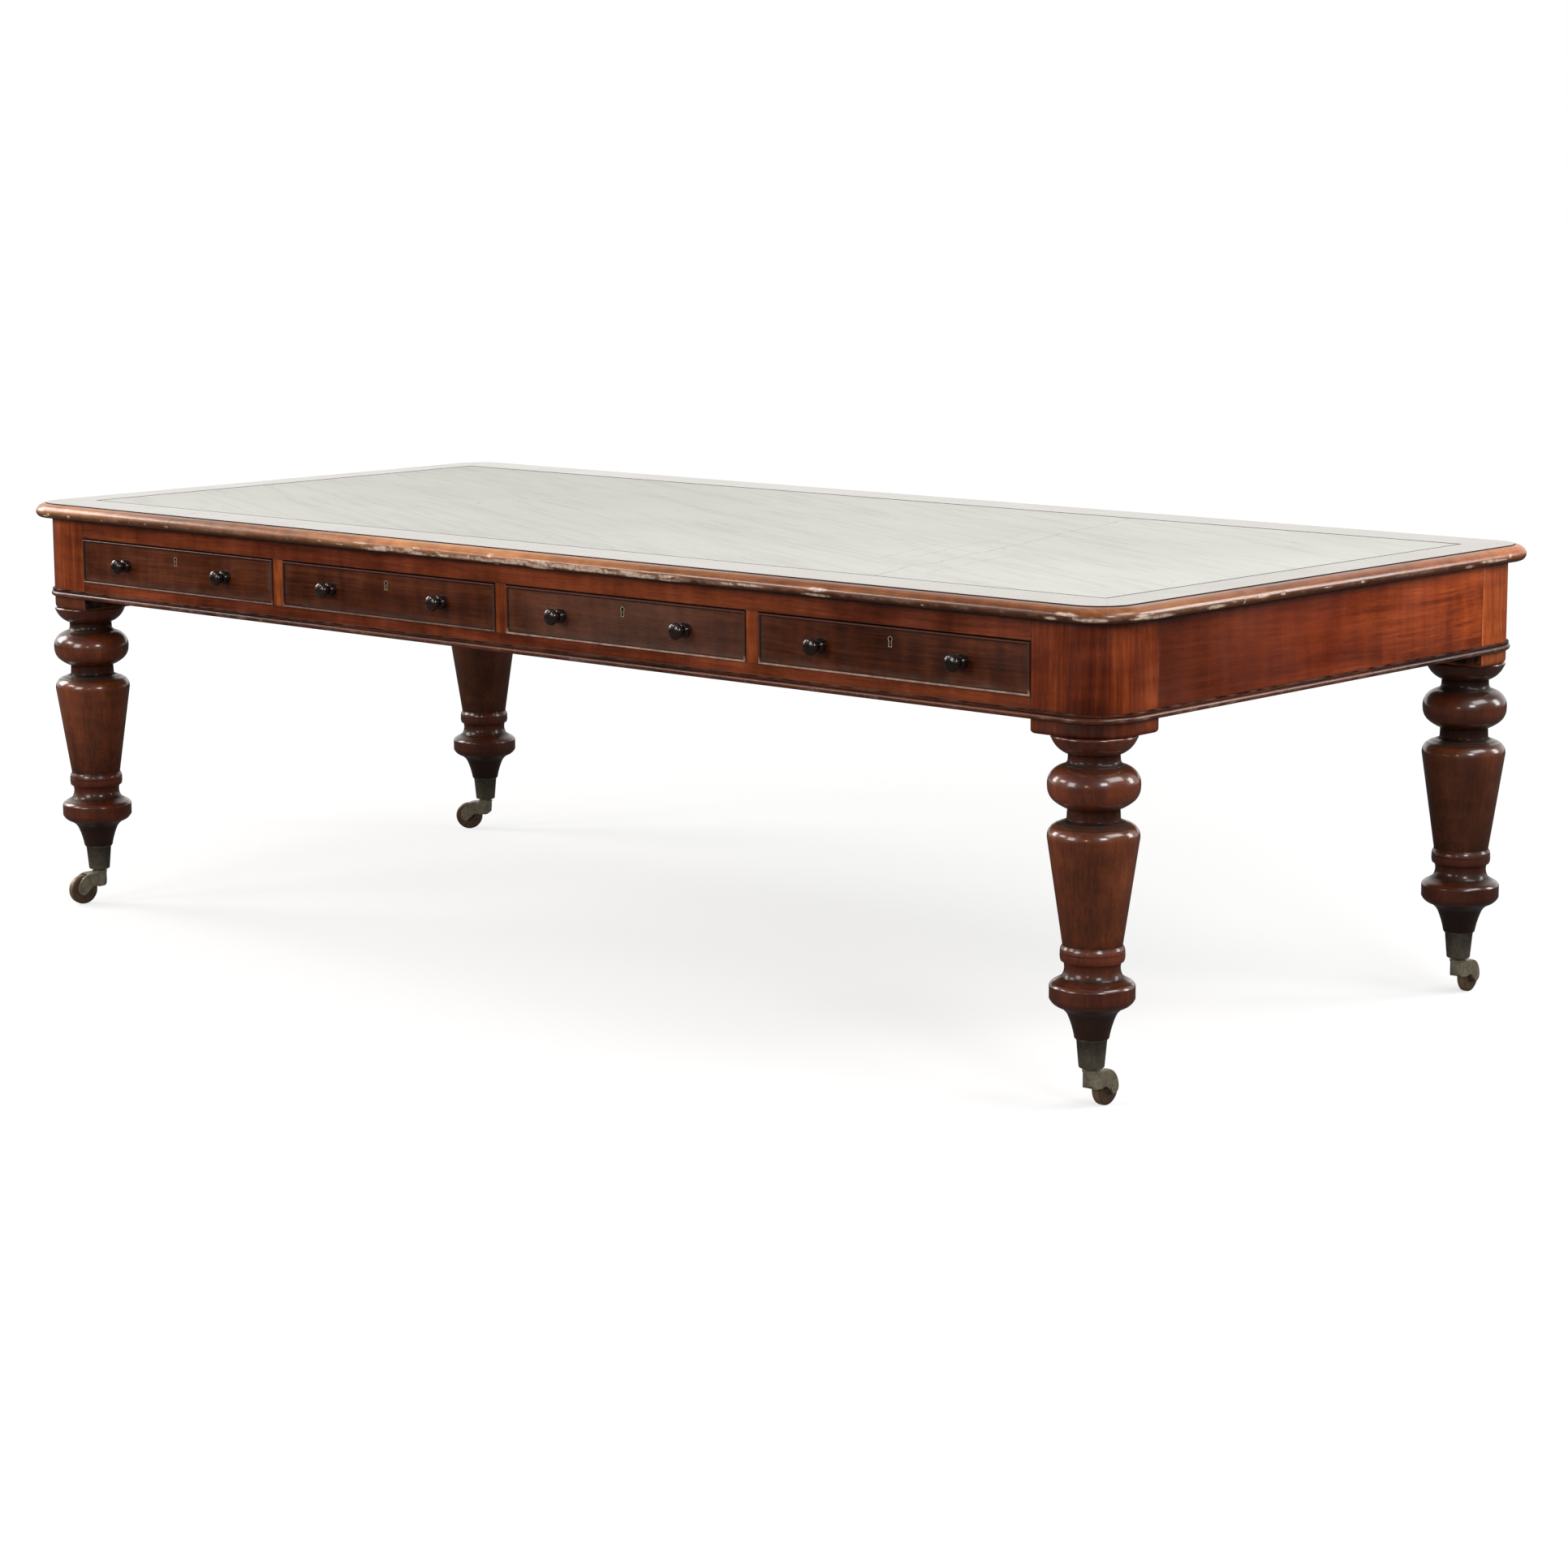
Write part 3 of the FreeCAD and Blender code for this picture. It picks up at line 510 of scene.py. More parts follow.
def grooved(points, places, depth, width):
    """A turned profile with fine incised lines at the given heights."""
    points = points.copy()
    for height in places:
        for offset in (-width, 0.0, width):
            target = height + offset
            for index in range(len(points) - 1):
                low, high = points[index], points[index + 1]
                if min(low[1], high[1]) <= target <= max(low[1], high[1]) and low[1] != high[1]:
                    share = (target - low[1]) / (high[1] - low[1])
                    extra = low + (high - low) * share
                    if offset == 0.0:
                        extra = extra - np.array([depth, 0.0])
                    points = np.insert(points, index + 1, extra, axis=0)
                    break
    return points


def hollows(points, reach):
    """How far each profile point lies inside a smoothed copy of the profile, from 0 to 1."""
    steps = np.linalg.norm(np.diff(points, axis=0), axis=1)
    along = np.concatenate([[0.0], np.cumsum(steps)])
    even = np.linspace(0, along[-1], 800)
    x = np.interp(even, along, points[:, 0])
    kernel = np.exp(-0.5 * ((even - even[len(even) // 2]) / reach) ** 2)
    kernel /= kernel.sum()
    padded = np.pad(x, len(x) // 2, mode="edge")
    smooth = np.convolve(padded, kernel, mode="same")[len(x) // 2:len(x) // 2 + len(x)]
    depth = np.clip((smooth - x) / (0.35 * reach), 0, 1)
    return np.interp(along, even, depth)


def new_object(name, material, vertices, faces, hollow=None, worn=None, sharp=40.0):
    """A mesh object from arrays, smooth but for its sharp edges."""
    mesh = bpy.data.meshes.new(name)
    mesh.from_pydata([tuple(v) for v in vertices], [], [tuple(f) for f in faces])
    mesh.validate()
    mesh.polygons.foreach_set("use_smooth", [True] * len(mesh.polygons))
    mesh.set_sharp_from_angle(angle=math.radians(sharp))
    for attribute_name, values in (("hollow", hollow), ("worn", worn)):
        if values is not None:
            layer = mesh.attributes.new(attribute_name, "FLOAT", "POINT")
            layer.data.foreach_set("value", np.asarray(values, float))
    mesh.materials.append(material)
    obj = bpy.data.objects.new(name, mesh)
    bpy.context.scene.collection.objects.link(obj)
    return obj


def piece(name, node, body, slot, material, *shape, **more):
    """An object that stands for a node, rides on a body and takes the material given. The slot is not
    used.
    """
    obj = new_object(name, material, *shape, **more)
    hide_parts(node)
    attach(obj, body)
    return obj


def lathe(points, segments, hollow=None, closed=False):
    """Vertices and faces of a profile turned about the Z axis. Points on the axis become one."""
    vertices, faces, depth, rings = [], [], [], []
    hollow = np.zeros(len(points)) if hollow is None else hollow
    for (radius, height), inside in zip(points, hollow):
        start = len(vertices)
        count = 1 if radius < 1e-6 else segments
        for number in range(count):
            angle = 2 * math.pi * number / segments
            vertices.append((radius * math.cos(angle), radius * math.sin(angle), height))
            depth.append(inside)
        rings.append([start + number % count for number in range(segments)])
    if closed:
        rings.append(rings[0])
    for low, high in zip(rings, rings[1:]):
        for number in range(segments):
            following = (number + 1) % segments
            face = dict.fromkeys((low[number], low[following], high[following], high[number]))
            if len(face) > 2:
                faces.append(tuple(face))
    return np.array(vertices, float), faces, np.array(depth)


def moved(vertices, matrix):
    """Points carried by a matrix."""
    square = np.array(matrix)
    return vertices @ square[:3, :3].T + square[:3, 3]


def joined(parts):
    """Several lots of vertices, faces and depths as one."""
    vertices, faces, depth, count = [], [], [], 0
    for part_vertices, part_faces, part_depth in parts:
        vertices.append(part_vertices)
        depth.append(part_depth)
        faces += [tuple(i + count for i in face) for face in part_faces]
        count += len(part_vertices)
    return np.concatenate(vertices), faces, np.concatenate(depth)


def round_path(length, depth, radius, step):
    """Stations round a rectangle with round corners, counter-clockwise from the middle of the
    front: the point that a section turns about, its outward direction, and the way gone."""
    x, y = length / 2 - radius, depth / 2 - radius
    legs = [((0, -y), (x, -y), -90), ((x, -y), (x, y), 0), ((x, y), (-x, y), 90),
            ((-x, y), (-x, -y), 180), ((-x, -y), (0, -y), 270)]
    stations, way = [], 0.0
    for number, (start, end, angle) in enumerate(legs):
        start, end = np.array(start, float), np.array(end, float)
        span = np.linalg.norm(end - start)
        count = max(1, round(span / step))
        outward = np.array([math.cos(math.radians(angle)), math.sin(math.radians(angle))])
        for index in range(count):
            share = index / count
            stations.append((start + (end - start) * share, outward, way + span * share))
        way += span
        if number == len(legs) - 1:
            break
        turn = radius * math.pi / 2
        count = max(12, round(turn / step))
        for index in range(count):
            bend = math.radians(angle + 90 * index / count)
            outward = np.array([math.cos(bend), math.sin(bend)])
            stations.append((end, outward, way + turn * index / count))
        way += turn
    return stations


def section_normals(points):
    """The outward direction at each point of a closed counter-clockwise section."""
    tangents = np.roll(points, -1, axis=0) - np.roll(points, 1, axis=0)
    normals = np.stack([tangents[:, 1], -tangents[:, 0]], axis=1)
    return normals / np.maximum(np.linalg.norm(normals, axis=1), 1e-9)[:, None]


def refined(points, step):
    """A closed section with no edge longer than a step."""
    result = []
    for start, end in zip(points, np.roll(points, -1, axis=0)):
        count = max(1, math.ceil(np.linalg.norm(end - start) / step))
        result += [start + (end - start) * index / count for index in range(count)]
    return np.array(result)


def swept(section, stations, sink):
    """A closed section taken round a closed path, sunk along its own outward direction."""
    normals = section_normals(section)
    vertices, faces = [], []
    count = len(section)
    for row, (centre, outward, _) in enumerate(stations):
        places = section - normals * sink[row][:, None]
        for x, z in places:
            vertices.append((centre[0] + outward[0] * x, centre[1] + outward[1] * x, z))
    rows = len(stations)
    for row in range(rows):
        following = (row + 1) % rows
        for index in range(count):
            after = (index + 1) % count
            faces.append((row * count + after, following * count + after,
                          following * count + index, row * count + index))
    return np.array(vertices), faces


def field(stations, section, scale, seed):
    """Smooth noise over a swept surface, from the place of each point in space."""
    values = np.zeros((len(stations), len(section)))
    shift = Vector((seed * 7.3, seed * 3.1, seed * 5.7))
    for row, (centre, outward, _) in enumerate(stations):
        for index, (x, z) in enumerate(section):
            place = Vector((centre[0] + outward[0] * x, centre[1] + outward[1] * x, z))
            values[row, index] = blender_noise.noise(place * scale + shift)
    return values


# The pieces

CHIP_SEED = 61

# Heights up a leg, radii there and bows of the edges that lead to them, as shares
LEG_OUTLINE_SHARES = [
    (0.0, 0.379, 0.0), (0.075, 0.523, -0.03), (0.106, 0.741, -0.1), (0.133, 0.931, 0.1),
    (0.175, 0.931, 0.0), (0.189, 0.848, 0.1), (0.203, 0.679, 0.0), (0.252, 0.625, -0.12),
    (0.258, 0.69, 0.0), (0.3, 0.69, 0.06), (0.31, 0.651, 0.0), (0.655, 0.99, 0.0),
    (0.709, 0.77, 0.21), (0.715, 0.66, 0.04), (0.726, 0.58, -0.2), (0.757, 0.57, 0.0),
    (0.781, 0.85, 0.04), (0.828, 1.0, 0.115), (0.897, 0.695, 0.19), (0.914, 0.568, -0.15),
    (0.935, 0.562, 0.0), (0.986, 0.92, 0.11), (1.0, 0.91, 0.25),
]
# Heights of the incised lines, then of the dusty ledges with their reach and strength
LEG_LINE_SHARES = (0.1885, 0.7025, 0.7095, 0.8985, 0.262, 0.285)
LEG_DUST = [(0.712, 0.0055, 1.0), (0.902, 0.005, 0.9), (0.206, 0.004, 0.8),
            (0.105, 0.008, 0.8)]


def leg_shape():
    """The turned outline of a leg as a mesh about the Z axis."""
    stretch = POST_BOTTOM - CUP_TOP
    points = [(0.0, CUP_TOP)]
    for height, radius, bow in LEG_OUTLINE_SHARES:
        points.append((LEG_RADIUS * radius, CUP_TOP + stretch * height, bow))
    points.append((0.0, POST_BOTTOM))
    profile = softened(outline(points), 0.0009)
    lines = [CUP_TOP + stretch * share for share in LEG_LINE_SHARES]
    profile = grooved(profile, lines, 0.0009, 0.0007)
    return lathe(profile, 128, hollows(profile, 0.005))


def make_legs(material):
    vertices, faces, depth = leg_shape()
    for name, (x_side, y_side, _) in CORNERS.items():
        here = vertices + np.array([x_side * LEG_X, y_side * LEG_Y, 0.0])
        piece("turned_leg_" + name, "leg_" + name, "table_frame", "mahogany", material,
              here, faces, depth, sharp=50.0)


def knob_shape():
    """A turned knob about the Z axis: a rounded collar against the drawer, a short neck and a
    flattened ball with a fine ring turned on its face."""
    points = [
        (0.0, -0.001), (0.0116, -0.001), (0.0116, 0.0008), (0.012, 0.0042, 0.12),
        (0.0066, 0.0122, 0.24), (0.0063, 0.0152, -0.1), (0.0078, 0.0172, -0.14),
        (0.014, 0.024, 0.22), (0.0098, 0.0296, 0.17), (0.0, 0.0308, 0.06),
    ]
    profile = softened(outline(points, 0.0005), 0.0004)
    profile = grooved(profile, [0.0298], 0.0003, 0.0003)
    return lathe(profile, 56, hollows(profile, 0.002))


def make_knobs(material):
    shape = knob_shape()
    for number in range(8):
        side = -1 if number < 4 else 1
        middle = (number % 4 - 1.5) * DRAWER_SPACING * -side
        turn = Matrix.Rotation(math.radians(-90 * side), 4, "X")
        parts = []
        for reach in (-KNOB_REACH, KNOB_REACH):
            place = Matrix.Translation((middle + reach, side * FRIEZE_DEPTH / 2, KNOB_HEIGHT))
            parts.append((moved(shape[0], place @ turn), shape[1], shape[2]))
        name = "drawer_%d" % (number + 1)
        piece(name + "_turned_knobs", name + "_knobs", name, "dark_turned_wood", material,
              *joined(parts))


def make_edge_moulding(material):
    """The thumb moulding round the top, dented and rubbed along its nose as old tables are; the rubbed
    places are pale, partly as worn wood and partly as painted sheen.
    """
    outer = TOP_CORNER_RADIUS
    inner = outer - MOULDING_WIDTH
    points = outline([
        (inner, FRIEZE_TOP), (outer - 0.0096, FRIEZE_TOP), (outer, TABLE_HEIGHT - 0.0155, 0.19),
        (outer - 0.0036, TABLE_HEIGHT - 0.0078, 0.09), (inner + 0.0009, TABLE_HEIGHT - 0.0015, 0.12),
        (inner + 0.0009, TABLE_HEIGHT - 0.0034), (inner, TABLE_HEIGHT - 0.0034),
    ], 0.0011)
    section = refined(softened(points, 0.0005, closed=True), 0.003)
    stations = round_path(TOP_LENGTH, TOP_DEPTH, outer, 0.003)
    way = np.array([station[2] for station in stations])[:, None]
    shown = (section[:, 0] > inner + 0.002)[None, :]
    girth = np.cumsum(np.linalg.norm(section - np.roll(section, 1, axis=0), axis=1))[None, :]
    nose = girth[0, np.argmax(section[:, 0])]
    waves = field(stations, section, 30.0, 1)
    ripples = field(stations, section, 110.0, 2)
    sink = (0.00012 * (waves + 1) + 0.00007 * (ripples + 1)) * shown
    worn = np.zeros_like(sink)
    generator = random.Random(CHIP_SEED)
    total = way[-1, 0]
    # Where the chips lie along the way round, and how many
    zones = [(0.0, 0.42, 40), (total - 0.32, total, 26), (1.15, 1.42, 9), (1.5, 2.2, 5),
             (0.0, total, 60)]
    for low, high, count in zones:
        for _ in range(count):
            middle = generator.uniform(low, high)
            length = generator.choice((0.003, 0.006, 0.01, 0.018, 0.03))
            length = length * generator.uniform(0.7, 1.3)
            height = generator.uniform(0.0012, 0.0042)
            place = nose + generator.gauss(-0.0025, 0.0026)
            depth = generator.uniform(0.00025, 0.0009) * (1.4 if length < 0.012 else 0.8)
            gap = np.abs(way - middle)
            gap = np.minimum(gap, total - gap)
            away = (gap / length) ** 2 + ((girth - place) / height) ** 2
            away = away + 0.45 * ripples
            bowl = np.clip(1 - away, 0, 1)
            sink = sink + depth * bowl * shown
            worn = np.maximum(worn, np.clip(bowl * 1.6, 0, 1) * shown)
    # A rubbed flat along the lower half of the nose, strongest near the middle of the front; its pale
    # colour is partly worn wood and partly painted sheen
    from_middle = np.minimum(np.abs(way - 0.13), np.abs(way - 0.13 - total))
    stretch = np.clip(1.25 - from_middle / 0.4, 0, 1)
    band = np.clip(1 - ((girth - nose + 0.0036) / 0.0038) ** 2, 0, 1)
    rub = stretch * band * np.clip(0.75 + 1.3 * waves + 0.9 * ripples, 0, 1) * shown
    sink = sink + 0.0007 * rub
    worn = np.maximum(worn, 0.85 * rub)
    # A faint pale band along the nose, partly worn wood and partly painted sheen
    light_rub = 0.16 * np.clip(1 - ((girth - nose + 0.002) / 0.004) ** 2, 0, 1)
    worn = np.maximum(worn, light_rub * np.clip(0.3 + 1.5 * waves + ripples, 0, 1) * shown)
    quirk = (section[:, 0] < inner + 0.0012) & (section[:, 1] > TABLE_HEIGHT - 0.005)
    foot = section[:, 1] < FRIEZE_TOP + 0.0025
    hollow = np.broadcast_to(np.where(quirk, 1.0, np.where(foot, 0.7, 0.0)), sink.shape)
    piece("worn_edge_moulding", "top_edge_moulding", "table_frame", "mahogany_edge", material,
          *swept(section, stations, sink), hollow.ravel(), worn.ravel())


def make_frieze_bead(material):
    """The reed and fillet round the foot of the frieze, its arris rubbed pale in places, partly as worn
    wood and partly as a painted highlight.
    """
    face = FRIEZE_CORNER_RADIUS
    points = outline([
        (face, FRIEZE_BOTTOM), (face + 0.003, FRIEZE_BOTTOM),
        (face + 0.003, FRIEZE_BOTTOM + 0.0094, 0.372), (face + 0.003, FRIEZE_BOTTOM + 0.0102),
        (face + 0.0042, FRIEZE_BOTTOM + 0.0102), (face + 0.0042, BEAD_TOP), (face, BEAD_TOP),
    ], 0.0009)
    section = refined(softened(points, 0.0004, closed=True), 0.004)
    stations = round_path(FRIEZE_LENGTH, FRIEZE_DEPTH, face, 0.004)
    waves = field(stations, section, 45.0, 3)
    ripples = field(stations, section, 160.0, 4)
    out = np.clip((section[:, 0] - face - 0.0045) / 0.0018, 0, 1)[None, :]
    low = np.clip((FRIEZE_BOTTOM + 0.0075 - section[:, 1]) / 0.003, 0, 1)[None, :]
    rub = out * low * np.clip(0.05 + 1.3 * waves + 0.8 * ripples, 0, 1)
    sink = 0.00004 * (waves + 1) * out + 0.0001 * rub
    rub = 0.22 * rub
    quirk = ((section[:, 1] > FRIEZE_BOTTOM + 0.0088) & (section[:, 1] < FRIEZE_BOTTOM + 0.0104)
             & (section[:, 0] < face + 0.0036))
    ledge = section[:, 1] > FRIEZE_BOTTOM + 0.0132
    hollow = np.clip(quirk + ledge * np.clip(0.75 - 1.2 * waves, 0, 1), 0, 1)
    piece("rubbed_frieze_bead", "frieze_bead", "table_frame", "mahogany", material,
          *swept(section, stations, sink), hollow.ravel(), rub.ravel())


def make_leather(material):
    """The leather let into the top: a thin sheet that lies a little unevenly on its board."""
    columns, rows = 297, 121
    xs = np.linspace(-LEATHER_LENGTH / 2, LEATHER_LENGTH / 2, columns)
    ys = np.linspace(-LEATHER_DEPTH / 2, LEATHER_DEPTH / 2, rows)
    vertices, faces = [], []
    bottom = TABLE_HEIGHT - LEATHER_THICKNESS
    for layer in range(2):
        for y in ys:
            for x in xs:
                place = Vector((x * 3.0, y * 5.0, 0.7))
                wave = 0.5 + 0.5 * blender_noise.noise(place)
                wave = max(0.0, min(1.0, wave + 0.2 * blender_noise.noise(place * 4.0)))
                z = LEATHER_TOP - LEATHER_WAVE * wave if layer else bottom
                vertices.append((x, y, z))

    def index(layer, row, column):
        return layer * rows * columns + row * columns + column

    for row in range(rows - 1):
        for column in range(columns - 1):
            corners = [(row, column), (row, column + 1), (row + 1, column + 1), (row + 1, column)]
            faces.append([index(1, *corner) for corner in corners])
            faces.append([index(0, *corner) for corner in corners[::-1]])
    rim = [(0, c) for c in range(columns)] + [(r, columns - 1) for r in range(1, rows)]
    rim += [(rows - 1, c) for c in range(columns - 2, -1, -1)]
    rim += [(r, 0) for r in range(rows - 2, 0, -1)]
    for here, after in zip(rim, rim[1:] + rim[:1]):
        faces.append([index(0, *here), index(0, *after), index(1, *after), index(1, *here)])
    sheet = piece("writing_leather", "leather_inset", "table_frame", "leather", material,
                  vertices, faces)


def make_caster_cups(material):
    """The four brass cups, each with a rolled lip, bored for the pintle."""
    slope = (CUP_TOP_RADIUS - CUP_BOTTOM_RADIUS) / (CUP_TOP - CUP_BOTTOM)
    floor = CUP_BOTTOM + CUP_FLOOR
    points = outline([
        (PINTLE_BORE, CUP_BOTTOM), (CUP_BOTTOM_RADIUS - 0.002, CUP_BOTTOM),
        (CUP_BOTTOM_RADIUS, CUP_BOTTOM + 0.002, 0.2), (CUP_TOP_RADIUS - 0.001, CUP_TOP - 0.0032),
        (CUP_TOP_RADIUS - 0.0002, CUP_TOP - 0.0022, -0.1), (CUP_TOP_RADIUS - 0.0002, CUP_TOP, 0.3),
        (CUP_TOP_RADIUS - CUP_WALL, CUP_TOP),
        (CUP_BOTTOM_RADIUS + slope * CUP_FLOOR - CUP_WALL, floor), (PINTLE_BORE, floor),
    ], 0.0007)
    profile = softened(points, 0.0004, closed=True)
    vertices, faces, _ = lathe(profile, 64, closed=True)
    height = vertices[:, 2]
    depth = np.where((height > CUP_TOP - 0.004) & (height < CUP_TOP - 0.0028), 0.9, 0.0)
    parts = []
    for x_side, y_side, _ in CORNERS.values():
        parts.append((vertices + np.array([x_side * LEG_X, y_side * LEG_Y, 0.0]), faces, depth))
    piece("brass_caster_cups", "caster_cups", "table_frame", "aged_brass", material,
          *joined(parts))


def make_wheels(material):
    """Each wheel: a worn rounded tread, dished faces and a hub bored for the axle."""
    half, hub, tread = WHEEL_WIDTH / 2, WHEEL_HUB_RADIUS, WHEEL_RADIUS - 0.0004
    points = outline([
        (WHEEL_BORE, -half), (hub - 0.0008, -half), (hub, -half + 0.001, 0.2),
        (hub + 0.0012, -half + 0.0022, -0.2), (tread - 0.0061, -half + 0.0026, 0.03),
        (tread, -half + 0.0052, 0.16), (tread, half - 0.0052, 0.035),
        (tread - 0.0061, half - 0.0026, 0.16), (hub + 0.0012, half - 0.0022, 0.03),
        (hub, half - 0.001, -0.2), (hub - 0.0008, half, 0.2), (WHEEL_BORE, half),
    ], 0.0007)
    profile = softened(points, 0.0003, closed=True)
    vertices, faces, _ = lathe(profile, 96, closed=True)
    radius = np.hypot(vertices[:, 0], vertices[:, 1])
    worn = np.clip((radius - WHEEL_RADIUS + 0.0022) / 0.0012, 0, 1)
    hollow = np.clip(1 - np.abs(radius - hub - 0.0012) / 0.0014, 0, 1)
    for name, (x_side, y_side, angle) in CORNERS.items():
        turn = Matrix.Rotation(math.radians(angle), 4, "Z")
        place = Matrix.Translation((x_side * LEG_X, y_side * LEG_Y, 0)) @ turn
        place = place @ Matrix.Translation((CASTER_TRAIL, 0, WHEEL_RADIUS))
        place = place @ Matrix.Rotation(math.radians(90), 4, "X")
        piece("worn_wheel_" + name, "caster_wheel_" + name, "wheel_" + name, "worn_wheel_brass",
              material, moved(vertices, place), faces, hollow, worn)


# The floor, the lamps and the surround

FLOOR_SIZE = 30.0
TABLE_MIDDLE = Vector((0, 0, 0.5))
WORLD_LEVEL = 0.42
WARM_WHITE = (1.0, 0.985, 0.95)

# Soft boxes round the table: direction from it in degrees, distance and height, then the width,
# height, power and colour of the box
SOFT_BOXES = [
    (-164, 4.3, 2.1, 1.6, 1.7, 75, (1.0, 0.97, 0.93)),
    (-128, 4.7, 2.8, 1.5, 0.9, 46, (1.0, 0.93, 0.88)),
    (-97, 5.2, 2.2, 1.7, 1.8, 80, (1.0, 0.98, 0.96)),
    (-62, 5.9, 1.9, 0.4, 0.6, 14, (1.0, 0.8, 0.55)),
    (-25, 5.8, 3.0, 1.3, 1.3, 86, (0.95, 0.975, 1.0)),
    (5, 3.4, 3.0, 2.2, 1.3, 62, (1.0, 0.98, 0.95)),
    (43, 5.0, 2.1, 1.2, 1.8, 62, (1.0, 0.99, 0.97)),
]


def mirrored_rays(path):
    """1 for the rays that metal, polish and glass send out."""
    return maths("MAXIMUM", Value(path["Is Glossy Ray"]), Value(path["Is Transmission Ray"]))


def make_stage():
    """A pale floor that keeps the table's shadow, under a white surround."""
    material, place, _ = new_material("pale_floor")
    path = add(place.tree, "LightPath").outputs
    away = vector_maths("LENGTH", place, output="Value")
    seen = Value(path["Is Camera Ray"]) * spread(away, 1.5, 7.0, 0.68, 0.92)
    glow = output_of("Emission", {"Color": (1, 1, 1, 1), "Strength": seen})
    diffuse = output_of("BsdfDiffuse", {"Color": mix(mirrored_rays(path), 0.36, 0.07)})
    both = output_of("AddShader", {0: diffuse, 1: glow})
    add(place.tree, "OutputMaterial", {0: both})
    corners = [(-FLOOR_SIZE, -FLOOR_SIZE, 0), (FLOOR_SIZE, -FLOOR_SIZE, 0),
               (FLOOR_SIZE, FLOOR_SIZE, 0), (-FLOOR_SIZE, FLOOR_SIZE, 0)]
    new_object("floor", material, corners, [(0, 1, 2, 3)])


def area_light(name, place, width, height, power, colour=(1, 1, 1)):
    """A soft box that faces the middle of the table."""
    data = bpy.data.lights.new(name, "AREA")
    data.shape = "RECTANGLE"
    data.size = width
    data.size_y = height
    data.energy = power
    data.color = colour
    light = bpy.data.objects.new(name, data)
    turn = (TABLE_MIDDLE - Vector(place)).to_track_quat("-Z", "Y").to_matrix()
    light.matrix_world = Matrix.Translation(place) @ turn.to_4x4()
    bpy.context.scene.collection.objects.link(light)


def make_lights():
    """Soft boxes all round, one overhead, and a surround that is white towards its foot."""
    for number, (angle, distance, height, width, tall, power, colour) in enumerate(SOFT_BOXES):
        turn = math.radians(angle)
        place = (distance * math.cos(turn), distance * math.sin(turn), height)
        area_light("soft_box_%d" % number, place, width, tall, power, colour)
    area_light("over_box", (0.2, 0.2, 3.6), 3.2, 2.0, 12)
    world = bpy.data.worlds.new("white_surround")
    bpy.context.scene.world = world
    world.use_nodes = True
    tree = world.node_tree
    tree.nodes.clear()
    path = add(tree, "LightPath").outputs
    direction = Value(add(tree, "TexCoord").outputs["Generated"])
    height = output_of("SeparateXYZ", {0: direction}, 2)
    foot = ramp(height, [(0.0, WARM_WHITE), (0.55, WARM_WHITE), (0.8, 0.4), (1.0, 0.3)], smooth=True)
    beyond = vector_maths("DOT_PRODUCT", direction, (-0.672, 0.741, 0.0), output="Value")
    foot = mix(ramp(beyond, [(0.3, 0.0), (0.75, 1.0)]), 0.16, foot)
    colour = mix(mirrored_rays(path), WORLD_LEVEL, foot)
    colour = mix(Value(path["Is Camera Ray"]), colour, 1.0)
    background = output_of("Background", {"Color": colour, "Strength": 1.0})
    add(tree, "OutputWorld", {0: background})


# Grime, painted light and shade, gloss and tints of each wood, from the axes of the object

def rail_grime_and_shade(axes):
    x, _, z = axes
    return [
        # Painted shade under the moulding
        (near(z, FRIEZE_TOP, 0.007), GRIME_AND_SHADE, 0.9),
        (near(z, OPENING_TOP, 0.0016), GRIME_AND_SHADE, 0.9),
        (near(z, OPENING_BOTTOM, 0.0016), GRIME_AND_SHADE, 0.8),
        (near(z, BEAD_TOP, 0.0022), GREY_DUST, 0.6),
        (near(abs(x), POST_INNER_X, 0.0012), GRIME_AND_SHADE, 1.2),
    ]


def post_grime_and_shade(axes):
    x, y, z = axes
    return [
        # Painted shade under the moulding
        (near(z, FRIEZE_TOP, 0.009), GRIME_AND_SHADE, 0.9),
        (near(abs(x), POST_INNER_X, 0.0014), GRIME_AND_SHADE, 1.3),
        (near(abs(y), POST_INNER_Y, 0.0014), GRIME_AND_SHADE, 1.0),
        (near(z, BEAD_TOP, 0.0022), GRIME_AND_SHADE, 0.7),
        # Darker below the foot of the frieze
        (z < FRIEZE_BOTTOM, GRIME_AND_SHADE, 0.5),
    ]


def divider_grime(axes):
    x, _, z = axes
    beside = abs(maths("WRAP", x, DRAWER_SPACING / 2, -DRAWER_SPACING / 2))
    return [
        (near(beside, DIVIDER_WIDTH / 2, 0.0022), GRIME_AND_SHADE, 0.9),
        (near(z, OPENING_TOP, 0.0018), GRIME_AND_SHADE, 0.8),
        (near(z, OPENING_BOTTOM, 0.0018), GRIME_AND_SHADE, 0.8),
    ]


def bead_masks(axes):
    """Where a drawer front's cockbeads stand out, and how near each inner edge of them is."""
    x, y, z = axes
    beside = abs(maths("WRAP", x, DRAWER_SPACING, 0.0) - DRAWER_SPACING / 2)
    nose = abs(y) > FRIEZE_DEPTH / 2 + 0.0002
    return nose, [COCKBEAD_INNER_X - beside, z - COCKBEAD_INNER_LOW, COCKBEAD_INNER_HIGH - z]


